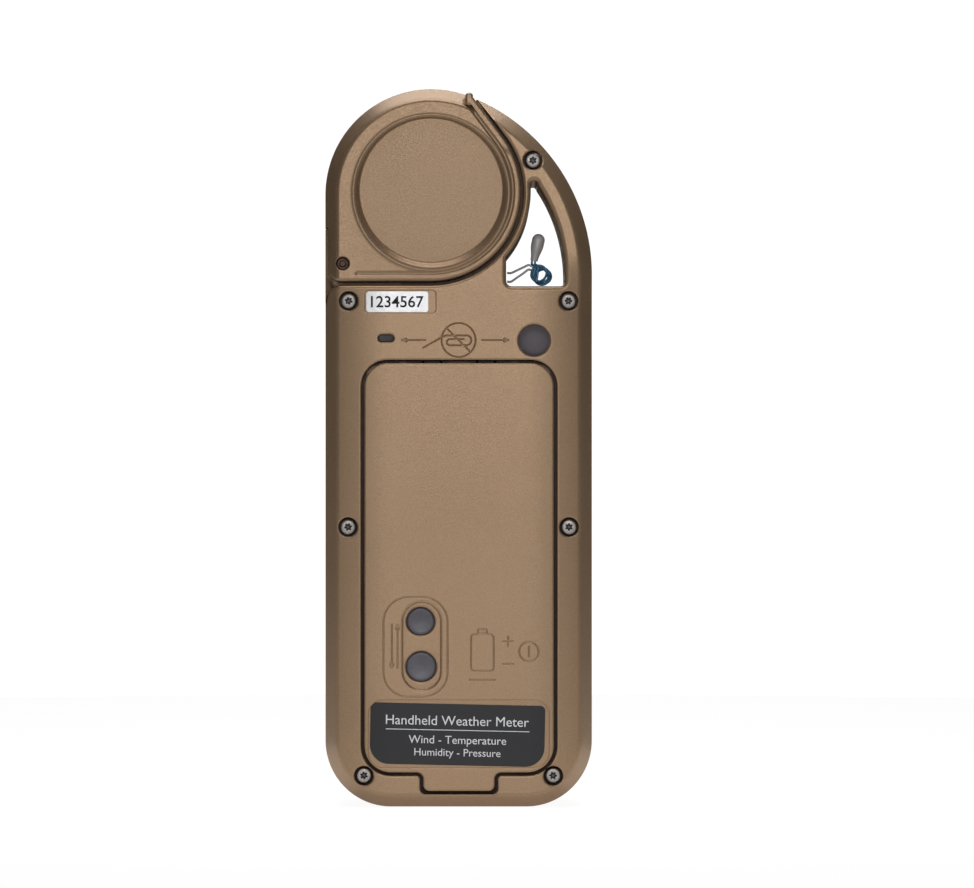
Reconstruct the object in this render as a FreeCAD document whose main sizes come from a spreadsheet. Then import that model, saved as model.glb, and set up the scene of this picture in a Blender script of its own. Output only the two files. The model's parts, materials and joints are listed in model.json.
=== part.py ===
import FreeCAD, Part

import os
import re

import Sketcher
from FreeCAD import Placement, Rotation, Vector

# A handheld weather meter that stands upright on its foot.  Millimetres.
# +Z runs up the length, +X across the width, and the back with the battery door faces +Y,
# so the display and the keys face -Y.  The origin is the middle of the foot.

DIMENSIONS = {
    # Outer shape, seen along Y
    "half_width": 23.6,
    "half_depth": 14.0,
    "total_length": 127.0,
    "foot_radius": 11.6,
    "arch_radius": 33.9,
    "arch_height": 93.9,
    "cover_radius": 18.7,
    "peak_offset": -3.2,
    "bevel_width": 2.9,
    "bevel_depth": 4.0,
    "edge_roll": 3.2,
    # Case shells
    "seam_level": -1.5,
    "deck_level": 10.0,
    "rebate_level": 12.0,
    "front_wall": 2.6,
    "cavity_half": 20.0,
    "cavity_foot": 3.6,
    "cavity_crown": 86.5,
    "gasket_inset": 1.9,
    "gasket_width": 0.8,
    "gasket_height": 0.6,
    "boss_radius": 2.6,
    # Impeller bay and flip cover
    "fan_across": 4.85,
    "fan_height": 108.75,
    "fan_bore": 13.0,
    "ring_radius": 16.3,
    "tongue_half": 10.0,
    "pivot_across": 20.45,
    "pivot_height": 96.0,
    "pin_radius": 1.1,
    "pin_play": 0.075,
    "lug_radius": 6.6,
    "shoulder_height": 92.1,
    "shoulder_radius": 3.0,
    "cradle_across": 4.95,
    "cradle_radius": 16.5,
    "cover_half": 13.6,
    "cheek_level": 10.3,
    "cover_corner": 3.15,
    "cover_edge": 15.9,
    "wall_bore": 17.2,
    "wall_clear": 7.0,
    "recess_depth": 1.2,
    # Air window beside the impeller bay
    "window_foot": 92.0,
    "window_side": -8.4,
    "window_curve": 17.6,
    "window_outer": 28.8,
    "bead_radius": 1.05,
    "bead_length": 4.9,
    # Battery door and battery
    "door_gap": 0.28,
    "door_right": 16.9,
    "door_left": -17.1,
    "door_head": 78.7,
    "door_foot": 5.95,
    "door_head_corner": 4.35,
    "door_foot_corner": 5.0,
    "door_inner": 12.4,
    "latch_right": 6.5,
    "latch_left": -6.65,
    "latch_foot": 2.4,
    "cell_radius": 7.25,
    "cell_length": 50.5,
    "cell_across": -6.15,
    "cell_depth": 4.05,
    "cell_foot": 19.5,
    # Screws
    "screw_radius": 0.95,
    "screw_head": 1.375,
    "screw_well": 1.725,
    # Front: display and keys
    "bezel_half": 17.5,
    "bezel_foot": 6.2,
    "bezel_crown": 86.3,
    "bezel_level": -12.8,
    "pane_half": 14.9,
    "pane_foot": 49.1,
    "pane_crown": 82.9,
    "key_level": -13.9,
    "key_back": -12.1,
    "key_play": 0.2,
    # Circuit board
    "board_half": 16.4,
    "board_back": -7.2,
    "board_front": -8.6,
}

SCREW_PLACES = (
    (-13.13, 114.2),
    (19.4, 89.4),
    (-19.4, 89.4),
    (19.5, 49.5),
    (-19.5, 49.5),
    (16.7, 5.64),
    (-16.7, 5.64),
)

# Keys on the front: name, X, Z, half width, half height, corner radius
KEYS = (
    ("power_key", 0.0, 11.6, 4.0, 2.2, 2.0),
    ("down_key", 0.0, 20.6, 3.6, 2.3, 1.6),
    ("select_key", 0.0, 28.6, 3.6, 3.6, 3.5),
    ("up_key", 0.0, 36.6, 3.6, 2.3, 1.6),
    ("left_key", -8.6, 28.6, 2.6, 3.4, 1.6),
    ("right_key", 8.6, 28.6, 2.6, 3.4, 1.6),
    ("exit_key", -11.2, 40.6, 3.2, 2.2, 2.0),
    ("capture_key", 11.2, 40.6, 3.2, 2.2, 2.0),
)

# Across the door's head, its two hooks
HOOK_PLACES = (-4.85, 4.7)

START, END, CENTRE = 1, 2, 3

doc = FreeCAD.newDocument("weather_meter")
sheet = doc.addObject("Spreadsheet::Sheet", "dims")
for row, (alias, number) in enumerate(DIMENSIONS.items(), start=1):
    sheet.set(f"A{row}", alias)
    sheet.set(f"B{row}", str(number))
    sheet.setAlias(f"B{row}", alias)
doc.recompute()


def expand(formula):
    """Put the sheet's name before each dimension that a formula names."""
    def with_sheet(word):
        return "dims." + word[0] if word[0] in DIMENSIONS else word[0]
    return re.sub(r"[a-z][a-z_]+", with_sheet, str(formula))


def value(formula):
    return float(sheet.evalExpression(expand(formula)))


def bind(target, prop, formula):
    target.setExpression(prop, expand(formula))


# Sketching

def dimension(sketch, kind, where, formula):
    number = sketch.addConstraint(Sketcher.Constraint(kind, *where, value(formula)))
    bind(sketch, f"Constraints[{number}]", formula)


def locate(sketch, item, point, x, y):
    dimension(sketch, "DistanceX", (item, point), x)
    dimension(sketch, "DistanceY", (item, point), y)


def circle(x, y, radius):
    def draw(sketch):
        centre = Vector(value(x), value(y), 0)
        item = sketch.addGeometry(Part.Circle(centre, Vector(0, 0, 1), value(radius)))
        locate(sketch, item, CENTRE, x, y)
        dimension(sketch, "Radius", (item,), radius)
    return draw


def arc_centre(start, end, radius):
    """Centre of the shorter arc from start to end: it turns left, or right for a negative radius."""
    chord = end - start
    across = Vector(-chord.y, chord.x, 0).normalize()
    reach = max(radius ** 2 - chord.Length ** 2 / 4, 0) ** 0.5
    side = 1 if radius > 0 else -1
    return (start + end) / 2 + across * reach * side


def path(corners):
    """A closed outline.  A corner is (x, y), or (x, y, radius) where an arc leaves it."""
    def draw(sketch):
        places = [Vector(value(corner[0]), value(corner[1]), 0) for corner in corners]
        ends = []
        for number, corner in enumerate(corners):
            start = places[number]
            end = places[(number + 1) % len(places)]
            if len(corner) == 2:
                item = sketch.addGeometry(Part.LineSegment(start, end))
                ends.append((item, START, END))
                continue
            radius = value(corner[2])
            centre = arc_centre(start, end, radius)
            first, last = (start, end) if radius > 0 else (end, start)
            round_part = Part.Circle(centre, Vector(0, 0, 1), abs(radius))
            arc = Part.ArcOfCircle(round_part, round_part.parameter(first), round_part.parameter(last))
            item = sketch.addGeometry(arc)
            ends.append((item, START, END) if radius > 0 else (item, END, START))
            dimension(sketch, "Radius", (item,), corner[2] if radius > 0 else f"-({corner[2]})")
        for number, (item, start_point, end_point) in enumerate(ends):
            following, next_start, _ = ends[(number + 1) % len(ends)]
            sketch.addConstraint(Sketcher.Constraint("Coincident", item, end_point, following, next_start))
            locate(sketch, item, start_point, corners[number][0], corners[number][1])
    return draw


def rectangle(left, foot, right, head, corner=None):
    if corner is None:
        return path([(left, foot), (right, foot), (right, head), (left, head)])
    near_left = f"{left} + {corner}"
    near_right = f"{right} - ({corner})"
    near_foot = f"{foot} + {corner}"
    near_head = f"{head} - ({corner})"
    return path([
        (near_left, foot),
        (near_right, foot, corner),
        (right, near_foot),
        (right, near_head, corner),
        (near_right, head),
        (near_left, head, corner),
        (left, near_head),
        (left, near_foot, corner),
    ])


def add_sketch(body, plane, level, outlines):
    sketch = body.newObject("Sketcher::SketchObject", "Profile")
    origin_plane = next(item for item in body.Origin.OriginFeatures if item.Role == plane)
    sketch.AttachmentSupport = [(origin_plane, "")]
    sketch.MapMode = "FlatFace"
    facing = "-1" if plane == "XZ_Plane" else "1"
    bind(sketch, "AttachmentOffset.Base.z", f"{facing} * ({level})")
    for draw in outlines:
        draw(sketch)
    return sketch


# Features of a body.  "low" and "high" are levels along Y, or along the plane's own axis.

def new_body(label):
    body = doc.addObject("PartDesign::Body", label)
    body.Label = label
    return body


def pad(body, low, high, *outlines, plane="XZ_Plane"):
    feature = body.newObject("PartDesign::Pad", "Pad")
    feature.Profile = add_sketch(body, plane, low, outlines)
    bind(feature, "Length", f"{high} - ({low})")
    feature.Reversed = plane == "XZ_Plane"
    doc.recompute()
    return feature


def pocket(body, low, high, *outlines, plane="XZ_Plane"):
    before = body.Shape.Volume
    sketch = add_sketch(body, plane, high, outlines)
    feature = body.newObject("PartDesign::Pocket", "Pocket")
    feature.Profile = sketch
    bind(feature, "Length", f"{high} - ({low})")
    feature.Reversed = plane == "XZ_Plane"
    doc.recompute()
    if body.Shape.Volume > before - 1e-4:
        raise RuntimeError(f"a pocket of {body.Label} between {low} and {high} cut nothing")
    return feature


def turn(body, kind, across, height, corners):
    """Revolve or groove about an axis along Y.  A corner is (radius, y) or (radius, y, arc)."""
    shifted = [(f"{across} + {corner[0]}", *corner[1:]) for corner in corners]
    sketch = add_sketch(body, "XY_Plane", height, [path(shifted)])
    middle = value(across)
    axis = Part.LineSegment(Vector(middle, -1, 0), Vector(middle, 1, 0))
    line = sketch.addGeometry(axis, True)
    locate(sketch, line, START, across, "-1")
    locate(sketch, line, END, across, "1")
    feature = body.newObject(f"PartDesign::{kind}", kind)
    feature.Profile = sketch
    feature.ReferenceAxis = (sketch, ["Axis0"])
    feature.Angle = 360
    doc.recompute()
    return feature


def flat_edges(shape, level):
    """Names of the edges that lie in the plane Y = level."""
    names = []
    for number, edge in enumerate(shape.Edges, start=1):
        box = edge.BoundBox
        if abs(box.YMin - level) < 1e-3 and abs(box.YMax - level) < 1e-3:
            names.append(f"Edge{number}")
    return names


def bevel(body, feature, level):
    """Cut the slanted rim at Y = level, and round it softly into the flat face."""
    rim = body.newObject("PartDesign::Chamfer", "Bevel")
    rim.Base = (feature, flat_edges(feature.Shape, value(level)))
    rim.ChamferType = "Two distances"
    bind(rim, "Size", "bevel_width")
    bind(rim, "Size2", "bevel_depth")
    doc.recompute()
    if abs(rim.Shape.BoundBox.XLength - feature.Shape.BoundBox.XLength) > 1e-3:
        raise RuntimeError("the bevel moved the silhouette")
    roll = body.newObject("PartDesign::Fillet", "Roll")
    roll.Base = (rim, flat_edges(rim.Shape, value(level)))
    bind(roll, "Radius", "edge_roll")
    doc.recompute()
    return roll


def cylinder(label, x, z, radius, low, high):
    body = new_body(label)
    pad(body, low, high, circle(x, z, radius))
    return body


# Outlines that several pieces share

COVER_ACROSS = "half_width - cover_radius"
COVER_HEIGHT = "total_length - cover_radius"
PEAK_HEIGHT = f"{COVER_HEIGHT} + sqrt(cover_radius^2 - (peak_offset - ({COVER_ACROSS}))^2)"

# The straight edge between the arch and the cover leaves their circles at this slope
SLOPE_ACROSS = 0.7986
SLOPE_UP = 0.6018


def silhouette():
    return path([
        ("foot_radius - half_width", 0),
        ("half_width - foot_radius", 0, "foot_radius"),
        ("half_width", "foot_radius"),
        ("half_width", COVER_HEIGHT, "cover_radius"),
        ("peak_offset", PEAK_HEIGHT, "arch_radius"),
        ("-half_width", "arch_height"),
        ("-half_width", "foot_radius", "foot_radius"),
    ])


def cover_space():
    """What the case leaves free for the cover, outside the tongue."""
    cradle_height = "shoulder_height + cradle_radius"
    leave_x = f"cradle_across - cradle_radius * {SLOPE_ACROSS}"
    leave_z = f"{cradle_height} + cradle_radius * {SLOPE_UP}"
    return path([
        ("half_width + 5", "shoulder_height - shoulder_radius"),
        ("half_width + 5", "total_length + 5"),
        (f"{leave_x} + 12 * {SLOPE_UP}", "total_length + 5"),
        (f"{leave_x} + 12 * {SLOPE_UP}", f"{leave_z} + 12 * {SLOPE_ACROSS}"),
        (leave_x, leave_z, "cradle_radius"),
        ("cradle_across", "shoulder_height"),
        ("half_width - shoulder_radius", "shoulder_height", "-shoulder_radius"),
        ("half_width", "shoulder_height - shoulder_radius"),
    ])


def rim_space():
    """What the tongue of the case leaves free for the outer wall of the cover."""
    lug_top = "pivot_height + sqrt(lug_radius^2 - (half_width - pivot_across)^2)"
    meet_x = "pivot_across - 0.51"
    meet_z = "pivot_height + sqrt(lug_radius^2 - 0.51^2)"
    leave_x = "peak_offset + 0.1"
    leave_z = f"fan_height + sqrt(ring_radius^2 - ({leave_x} - fan_across)^2)"
    return path([
        ("half_width", lug_top),
        ("half_width + 5", lug_top),
        ("half_width + 5", "total_length + 5"),
        (leave_x, "total_length + 5"),
        (leave_x, leave_z, "-ring_radius"),
        (meet_x, meet_z, "-lug_radius"),
    ])


def air_window():
    side_head = "fan_height - sqrt(window_curve^2 - (fan_across - window_side)^2)"
    tip = "fan_height + 1.25"
    tip_left = "arch_radius - half_width - sqrt(window_outer^2 - (fan_height + 1.25 - arch_height)^2)"
    tip_right = "fan_across - sqrt(window_curve^2 - 1.25^2)"
    outer_side = "arch_radius - half_width - window_outer"
    return path([
        ("window_side - 0.8", "window_foot", 0.8),
        ("window_side", "window_foot + 0.8"),
        ("window_side", side_head, "-window_curve"),
        (tip_right, tip, f"({tip_right} - ({tip_left})) / 2 + 0.001"),
        (tip_left, tip, "window_outer"),
        (outer_side, "arch_height"),
        (outer_side, "window_foot + 0.55", 0.55),
        (f"{outer_side} + 0.55", "window_foot"),
    ])


def cavity():
    head = 2.0
    foot = "foot_radius - cavity_foot"
    return path([
        (f"{foot} - cavity_half", "cavity_foot"),
        (f"cavity_half - ({foot})", "cavity_foot", foot),
        ("cavity_half", "foot_radius"),
        ("cavity_half", f"cavity_crown - {head}", head),
        (f"cavity_half - {head}", "cavity_crown"),
        (f"{head} - cavity_half", "cavity_crown", head),
        ("-cavity_half", f"cavity_crown - {head}"),
        ("-cavity_half", "foot_radius", foot),
    ])


def gasket_line(inset):
    """A line round the cavity, inset from the silhouette and below the top screws."""
    foot = f"foot_radius - ({inset})"
    side = f"half_width - ({inset})"
    crown = f"cavity_crown + gasket_inset + 1.4 - ({inset})"
    head = f"3.3 - ({inset})"
    return path([
        ("foot_radius - half_width", inset),
        ("half_width - foot_radius", inset, foot),
        (side, "foot_radius"),
        (side, f"{crown} - ({head})", head),
        (f"{side} - ({head})", crown),
        (f"{head} - ({side})", crown, head),
        (f"-({side})", f"{crown} - ({head})"),
        (f"-({side})", "foot_radius", foot),
    ])


def door_line(play):
    """The door's edge, grown by play: the gap's middle line when play is 0."""
    left = f"door_left - ({play})"
    right = f"door_right + {play}"
    head = f"door_head + {play}"
    foot = f"door_foot - ({play})"
    latch = f"latch_foot - ({play}) + door_gap"
    latch_left = f"latch_left - ({play})"
    latch_right = f"latch_right + {play}"
    big = f"door_foot_corner + {play}"
    small = f"door_head_corner + {play}"
    latch_corner = 1.1
    return path([
        (f"{left} + {big}", foot),
        (latch_left, foot),
        (latch_left, f"{latch} + {latch_corner}", latch_corner),
        (f"{latch_left} + {latch_corner}", latch),
        (f"{latch_right} - {latch_corner}", latch, latch_corner),
        (latch_right, f"{latch} + {latch_corner}"),
        (latch_right, foot),
        (f"{right} - ({big})", foot, big),
        (right, f"{foot} + {big}"),
        (right, f"{head} - ({small})", small),
        (f"{right} - ({small})", head),
        (f"{left} + {small}", head, small),
        (left, f"{head} - ({small})"),
        (left, f"{foot} + {big}", big),
    ])


# Case

def screw_holes(radius):
    return [circle(x, z, radius) for x, z in SCREW_PLACES]


def case_half(label, low, high, outer_face):
    """One half of the case between two levels, with its tongue, cavity, bores and window."""
    body = new_body(label)
    shell = pad(body, low, high, silhouette())
    bevel(body, shell, outer_face)
    if outer_face == "half_depth":
        pocket(body, "tongue_half", high, cover_space())
    else:
        pocket(body, low, "-tongue_half", cover_space())
    pocket(body, low, high, rim_space())
    pocket(body, low, high, circle("fan_across", "fan_height", "fan_bore"))
    pocket(body, low, high, air_window())
    pocket(body, low, high, circle("pivot_across", "pivot_height", "pin_radius"))
    return body


def rear_case():
    body = case_half("rear_case", "seam_level", "half_depth", "half_depth")
    pocket(body, "seam_level", "deck_level", cavity())
    pocket(body, "deck_level", "rebate_level", rectangle(-19, 80, 19, 86, 1.0))
    pad(body, "seam_level", "deck_level", *[circle(x, z, "boss_radius") for x, z in SCREW_PLACES[3:]])
    pad(body, -4.7, "deck_level", rectangle(-15.2, 10.6, 2.9, 73.0))
    pocket(body, -3.5, "rebate_level", rectangle(-14.0, 11.8, 1.7, 71.2))
    pocket(body, "rebate_level", "half_depth", door_line("door_gap"))
    pocket(body, 11.2, "rebate_level", rectangle("latch_left", 1.4, "latch_right", 3.6))
    pocket(body, "rebate_level", "half_depth",
           rectangle("latch_left - door_gap", 1.4, "latch_right + door_gap", 3.6))
    pocket(body, "deck_level", "rebate_level",
           *[rectangle(x - 1.8, 75.5, x + 1.8, 80.2) for x in HOOK_PLACES])
    pocket(body, "deck_level", "rebate_level", *[circle(6.65, z, 1.9) for z in (24.9, 32.9)])
    pad(body, 8.2, "deck_level", circle(10.4, 21.6, 0.9), circle(10.4, 36.2, 0.9))
    pad(body, 9.6, "rebate_level", circle(-5.0, 83.6, 1.4), circle(6.0, 83.6, 1.4))
    for radius, low, high in (("screw_radius", "seam_level", 11.2), ("screw_well", 11.2, "half_depth")):
        pocket(body, low, high, *screw_holes(radius))
    pocket(body, 13.0, "half_depth", circle(-13.36, 82.4, 2.85))
    pocket(body, "rebate_level", 13.0, circle(-13.36, 82.4, 1.8))
    pocket(body, 12.7, "half_depth", rectangle(11.4, 82.1, 14.2, 83.5, 0.69))
    pocket(body, "rebate_level", 12.7, circle(12.8, 82.8, 0.5))
    pocket(body, 13.8, "half_depth", rectangle(4.05, 87.3, 16.5, 91.2, 0.6))
    pocket(body, "seam_level", 1.5, rectangle(3.3, 93.3, 6.4, 94.9))
    pocket(body, "window_side", -6.4, circle(0.3, 93.5, 1.25), plane="YZ_Plane")
    pocket(body, "seam_level", "seam_level + gasket_height", gasket_line("gasket_inset"),
           gasket_line("gasket_inset + gasket_width"))
    return body


def front_case():
    wall = "front_wall - half_depth"
    body = case_half("front_case", "-half_depth", "seam_level", "-half_depth")
    pocket(body, wall, "seam_level", cavity())
    pad(body, wall, "seam_level", *[circle(x, z, "boss_radius") for x, z in SCREW_PLACES[3:]])
    pocket(body, "-half_depth", "bezel_level", bezel_line(0.05))
    pocket(body, "bezel_level", wall, rectangle(-14, 50, 14, 82, 1.5))
    pocket(body, "bezel_level", wall, *[key_line(key, "key_play") for key in KEYS])
    pocket(body, -9.0, "seam_level", *screw_holes("screw_radius"))
    return body


def bezel_line(play):
    return rectangle(f"-(bezel_half + {play})", f"bezel_foot - {play}",
                     f"bezel_half + {play}", f"bezel_crown + {play}", f"6 + {play}")


def key_line(key, play):
    _, x, z, half_width, half_height, corner = key
    return rectangle(f"{x - half_width} - ({play})", f"{z - half_height} - ({play})",
                     f"{x + half_width} + {play}", f"{z + half_height} + {play}",
                     f"{corner} + {play} - 0.001")


def case_gasket():
    body = new_body("case_gasket")
    pad(body, "seam_level", "seam_level + gasket_height", gasket_line("gasket_inset"),
        gasket_line("gasket_inset + gasket_width"))
    return body


def case_screws():
    """Seven screws with sunk heads: each has a round driver well with a pin in its middle."""
    body = new_body("case_screws")
    pad(body, -8.6, 11.2, *screw_holes("screw_radius"))
    pad(body, 11.2, 12.9, *screw_holes("screw_head"))
    pocket(body, 12.0, 12.9, *screw_holes(0.72))
    pad(body, 12.0, 12.6, *screw_holes(0.24))
    return body


# Flip cover and its pivot

def cover_surround():
    """Everything round the cover, with the straight edge beside the arch and its thumb tab."""
    leave_x = f"fan_across - cover_edge * {SLOPE_ACROSS}"
    leave_z = f"fan_height + cover_edge * {SLOPE_UP}"
    tab_x = "peak_offset + 0.5"
    return path([
        ("half_width + 5", -5),
        ("half_width + 5", "pivot_height"),
        ("half_width", "pivot_height", "-cover_corner"),
        ("pivot_across", "pivot_height - cover_corner"),
        ("fan_across", "fan_height - cover_edge", "-cover_edge"),
        (leave_x, leave_z),
        (tab_x, f"{leave_z} + ({tab_x} - ({leave_x})) * {SLOPE_ACROSS} / {SLOPE_UP}"),
        (tab_x, "total_length + 5"),
        ("-half_width - 5", "total_length + 5"),
        ("-half_width - 5", -5),
    ])


def cover_hollow():
    """The space between the cheeks, bounded by the outer wall and cleared round the lug."""
    clear_top = "pivot_height + sqrt(wall_clear^2 - (half_width - pivot_across)^2)"
    meet_x = "pivot_across + 0.8"
    meet_z = "pivot_height + sqrt(wall_clear^2 - 0.8^2)"
    end_x = "peak_offset + 0.6"
    end_z = f"{COVER_HEIGHT} + sqrt(wall_bore^2 - ({end_x} - ({COVER_ACROSS}))^2)"
    return path([
        ("half_width + 5", 85),
        ("half_width + 5", clear_top),
        ("half_width", clear_top, "wall_clear"),
        (meet_x, meet_z, "wall_bore"),
        (end_x, end_z),
        (end_x, "total_length + 5"),
        (-12, "total_length + 5"),
        (-14, 85),
    ])


def flip_cover():
    body = new_body("flip_cover")
    shell = pad(body, "-cover_half", "cover_half", silhouette())
    shell = bevel(body, shell, "cover_half")
    bevel(body, shell, "-cover_half")
    pocket(body, "-half_depth", "half_depth", cover_surround())
    pad(body, -11.5, 11.5, rectangle("peak_offset + 0.6", 124.4, -1.4, 126.2, 0.35))
    pocket(body, "-cheek_level", "cheek_level", cover_hollow())
    for side in ("", "-"):
        floor = f"{side}(cover_half - recess_depth)"
        turn(body, "Groove", "fan_across", "fan_height", [
            (0, floor),
            (12.16, floor),
            (13.0, f"{side}(cover_half + 0.4)"),
            (0, f"{side}(cover_half + 0.4)"),
        ])
    pivot_hole = circle("pivot_across", "pivot_height", "pin_radius + pin_play")
    pocket(body, "-half_depth", "half_depth", pivot_hole)
    return body


def cover_pivot_pin():
    body = cylinder("cover_pivot_pin", "pivot_across", "pivot_height", "pin_radius", -12.0, 12.0)
    pad(body, 12.0, 12.8, circle("pivot_across", "pivot_height", 0.575))
    return body


# Impeller module

def impeller_housing():
    """A sleeve in the bore, with a hub on three spokes at each end."""
    body = new_body("impeller_housing")
    pad(body, -9.6, 9.6, circle("fan_across", "fan_height", "fan_bore - 0.05"),
        circle("fan_across", "fan_height", 12.1))
    for low, high in ((6.4, 8.0), (-8.0, -6.4)):
        pad(body, low, high,
            rectangle("fan_across - 0.6", "fan_height", "fan_across + 0.6", "fan_height + 12.4"))
        pad(body, low, high, spoke(-1))
        pad(body, low, high, spoke(1))
        pad(body, low, high, circle("fan_across", "fan_height", 2.4))
        pocket(body, low, high, circle("fan_across", "fan_height", 1.2))
    return body


def spoke(side):
    """A spoke that runs down from the hub to one side, 60 degrees from straight down."""
    along_x, along_z = side * 0.866, -0.5
    out_x, out_z = 0.6 * 0.5, 0.6 * side * 0.866
    return path([
        (f"fan_across - {out_x}", f"fan_height - {out_z}"),
        (f"fan_across + {out_x}", f"fan_height + {out_z}"),
        (f"fan_across + {out_x} + {12.4 * along_x}", f"fan_height + {out_z} + {12.4 * along_z}"),
        (f"fan_across - {out_x} + {12.4 * along_x}", f"fan_height - {out_z} + {12.4 * along_z}"),
    ])


def at_fan(body):
    bind(body, "Placement.Base.x", "fan_across")
    bind(body, "Placement.Base.z", "fan_height")
    doc.recompute()
    return body


def impeller_rotor():
    """Eight twisted blades on a hub that turns about Y."""
    body = new_body("impeller_rotor")
    pad(body, -4.5, 4.5, circle(0, 0, 2.4))
    loft = body.newObject("PartDesign::AdditiveLoft", "Blade")
    sections = []
    for radius, chord, lean in ((1.6, 7.6, 35), (11.7, 6.4, 58)):
        section = add_sketch(body, "XY_Plane", radius, [rectangle(-0.3, -chord / 2, 0.3, chord / 2)])
        section.AttachmentOffset = Placement(Vector(0, 0, radius), Rotation(Vector(0, 0, 1), lean))
        sections.append(section)
    loft.Profile = sections[0]
    loft.Sections = sections[1:]
    doc.recompute()
    blades = body.newObject("PartDesign::PolarPattern", "Blades")
    blades.Originals = [loft]
    axis = next(item for item in body.Origin.OriginFeatures if item.Role == "Y_Axis")
    blades.Axis = (axis, [""])
    blades.Angle = 360
    blades.Occurrences = 8
    body.Tip = blades
    doc.recompute()
    pocket(body, -4.5, 4.5, circle(0, 0, 0.5))
    return at_fan(body)


def impeller_axle():
    return at_fan(cylinder("impeller_axle", 0, 0, 0.5, -7.8, 7.8))


def impeller_bearings():
    body = new_body("impeller_bearings")
    for low, high in ((6.4, 8.0), (-8.0, -6.4)):
        pad(body, low, high, circle(0, 0, 1.2), circle(0, 0, 0.55))
    return at_fan(body)


def impeller_magnet():
    body = new_body("impeller_magnet")
    pad(body, 4.5, 5.6, circle(0, 0, 1.9), circle(0, 0, 0.5))
    return at_fan(body)


def impeller_pickup():
    body = new_body("impeller_pickup")
    pad(body, "seam_level", 1.4, rectangle(3.35, 93.4, 6.35, 94.8))
    return body


# Air temperature sensor in the window

def thermistor_grommet():
    body = new_body("thermistor_grommet")
    pad(body, "window_side", -6.4, circle(0.3, 93.5, 1.2), plane="YZ_Plane")
    return body


def lead_route(steps):
    """Level, then an S of two equal tangent arcs, then level."""
    def draw(sketch):
        first, low, high, last = [Vector(value(x), value(z), 0) for x, z in steps]
        middle = (low + high) / 2
        run, rise = low.x - middle.x, middle.y - low.y
        radius = (run ** 2 + rise ** 2) / (2 * rise)
        sketch.addGeometry(Part.LineSegment(first, low))
        sketch.addGeometry(Part.Arc(low, arc_middle(low, radius, middle), middle))
        sketch.addGeometry(Part.Arc(middle, arc_middle(high, -radius, middle), high))
        sketch.addGeometry(Part.LineSegment(high, last))
    return draw


def arc_middle(level_end, radius, slanted_end):
    """The point halfway along an arc that leaves level_end level and reaches slanted_end."""
    centre = level_end + Vector(0, radius, 0)
    outward = (level_end - centre).normalize() + (slanted_end - centre).normalize()
    return centre + outward.normalize() * abs(radius)


def thermistor_leads():
    """Two stiff leads that rise in an S from the grommet to a coil round Y."""
    body = new_body("thermistor_leads")
    pad(body, -0.55, 1.15, circle(-14.4, 94.0, 1.85), circle(-14.4, 94.0, 1.0))
    for start, finish in ((94.2, 95.3), (92.8, 93.9)):
        steps = [("window_side - 0.02", start), (-9.4, start), (-11.6, finish), (-13.0, finish)]
        pipe = body.newObject("PartDesign::AdditivePipe", "Lead")
        pipe.Profile = add_sketch(body, "YZ_Plane", "window_side - 0.02", [circle(0.3, start, 0.19)])
        pipe.Spine = add_sketch(body, "XZ_Plane", 0.3, [lead_route(steps)])
        doc.recompute()
    return body


def thermistor_bead():
    """A drop-shaped bead whose neck stands on the coil."""
    body = new_body("thermistor_bead")
    crown = "bead_length - bead_radius"
    sketch = add_sketch(body, "XZ_Plane", 0, [path([
        (0, 0),
        (0.45, 0),
        ("bead_radius", crown),
        ("bead_radius * 0.8", f"{crown} + bead_radius * 0.6"),
        ("bead_radius * 0.3", "bead_length"),
        (0, "bead_length"),
    ])])
    drop = body.newObject("PartDesign::Revolution", "Drop")
    drop.Profile = sketch
    drop.ReferenceAxis = (sketch, ["V_Axis"])
    drop.Angle = 360
    doc.recompute()
    body.Placement = Placement(Vector(-13.8, 0.3, 95.9), Rotation())
    return body


# Humidity and pressure sensors behind the back wall

def plate(label, low, high, left, foot, right, head, corner=None):
    body = new_body(label)
    pad(body, low, high, rectangle(left, foot, right, head, corner))
    return body


def sensor_board():
    return plate("sensor_board", 8.6, 9.6, -16.6, 80.4, 16.0, 86.0, 0.6)


def humidity_sensor():
    return plate("humidity_sensor", 9.6, 10.8, -14.86, 80.9, -11.86, 83.9, 0.2)


def pressure_sensor():
    return plate("pressure_sensor", 9.6, 11.2, 11.3, 81.3, 14.3, 84.3, 0.3)


def humidity_membrane():
    return cylinder("humidity_membrane", -13.36, 82.4, 2.8, 13.0, 13.3)


def pressure_port_plug():
    return plate("pressure_port_plug", 12.7, 13.6, 11.42, 82.12, 14.18, 83.48, 0.67)


def serial_label():
    return plate("serial_label", 13.8, 13.93, 5.3, 87.4, 16.3, 91.1, 0.5)


# Battery door and what it carries

def battery_door():
    """The door with its latch tongue, two hooks at its head and the optical recess."""
    body = new_body("battery_door")
    bevel(body, pad(body, 9, "half_depth", silhouette()), "half_depth")
    pocket(body, 9, "door_inner", rectangle(-30, -5, 30, 132))
    pocket(body, "door_inner", "half_depth", rectangle(-30, -5, 30, 132), door_line("-door_gap"))
    for x in HOOK_PLACES:
        pad(body, 11.1, "door_inner", rectangle(x - 1.4, 76.9, x + 1.4, 78.2))
        pad(body, 11.1, 11.9, rectangle(x - 1.4, 76.9, x + 1.4, 79.6))
    pocket(body, 13.8, "half_depth", rectangle(-15.95, 7.1, 15.9, 19.0, 2.6))
    pocket(body, 13.35, "half_depth", rectangle(3.25, 20.85, 9.75, 36.15, 3.24))
    pocket(body, "door_inner", 13.35, circle(6.7, 32.9, 2.5), circle(6.6, 24.9, 2.7))
    return body


def door_gasket():
    body = new_body("door_gasket")
    pad(body, 12.1, "door_inner", rectangle(-15.9, 9.3, 13.9, 74.9, 2.0),
        rectangle(-15.0, 10.2, 13.0, 74.0, 1.2))
    return body


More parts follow.
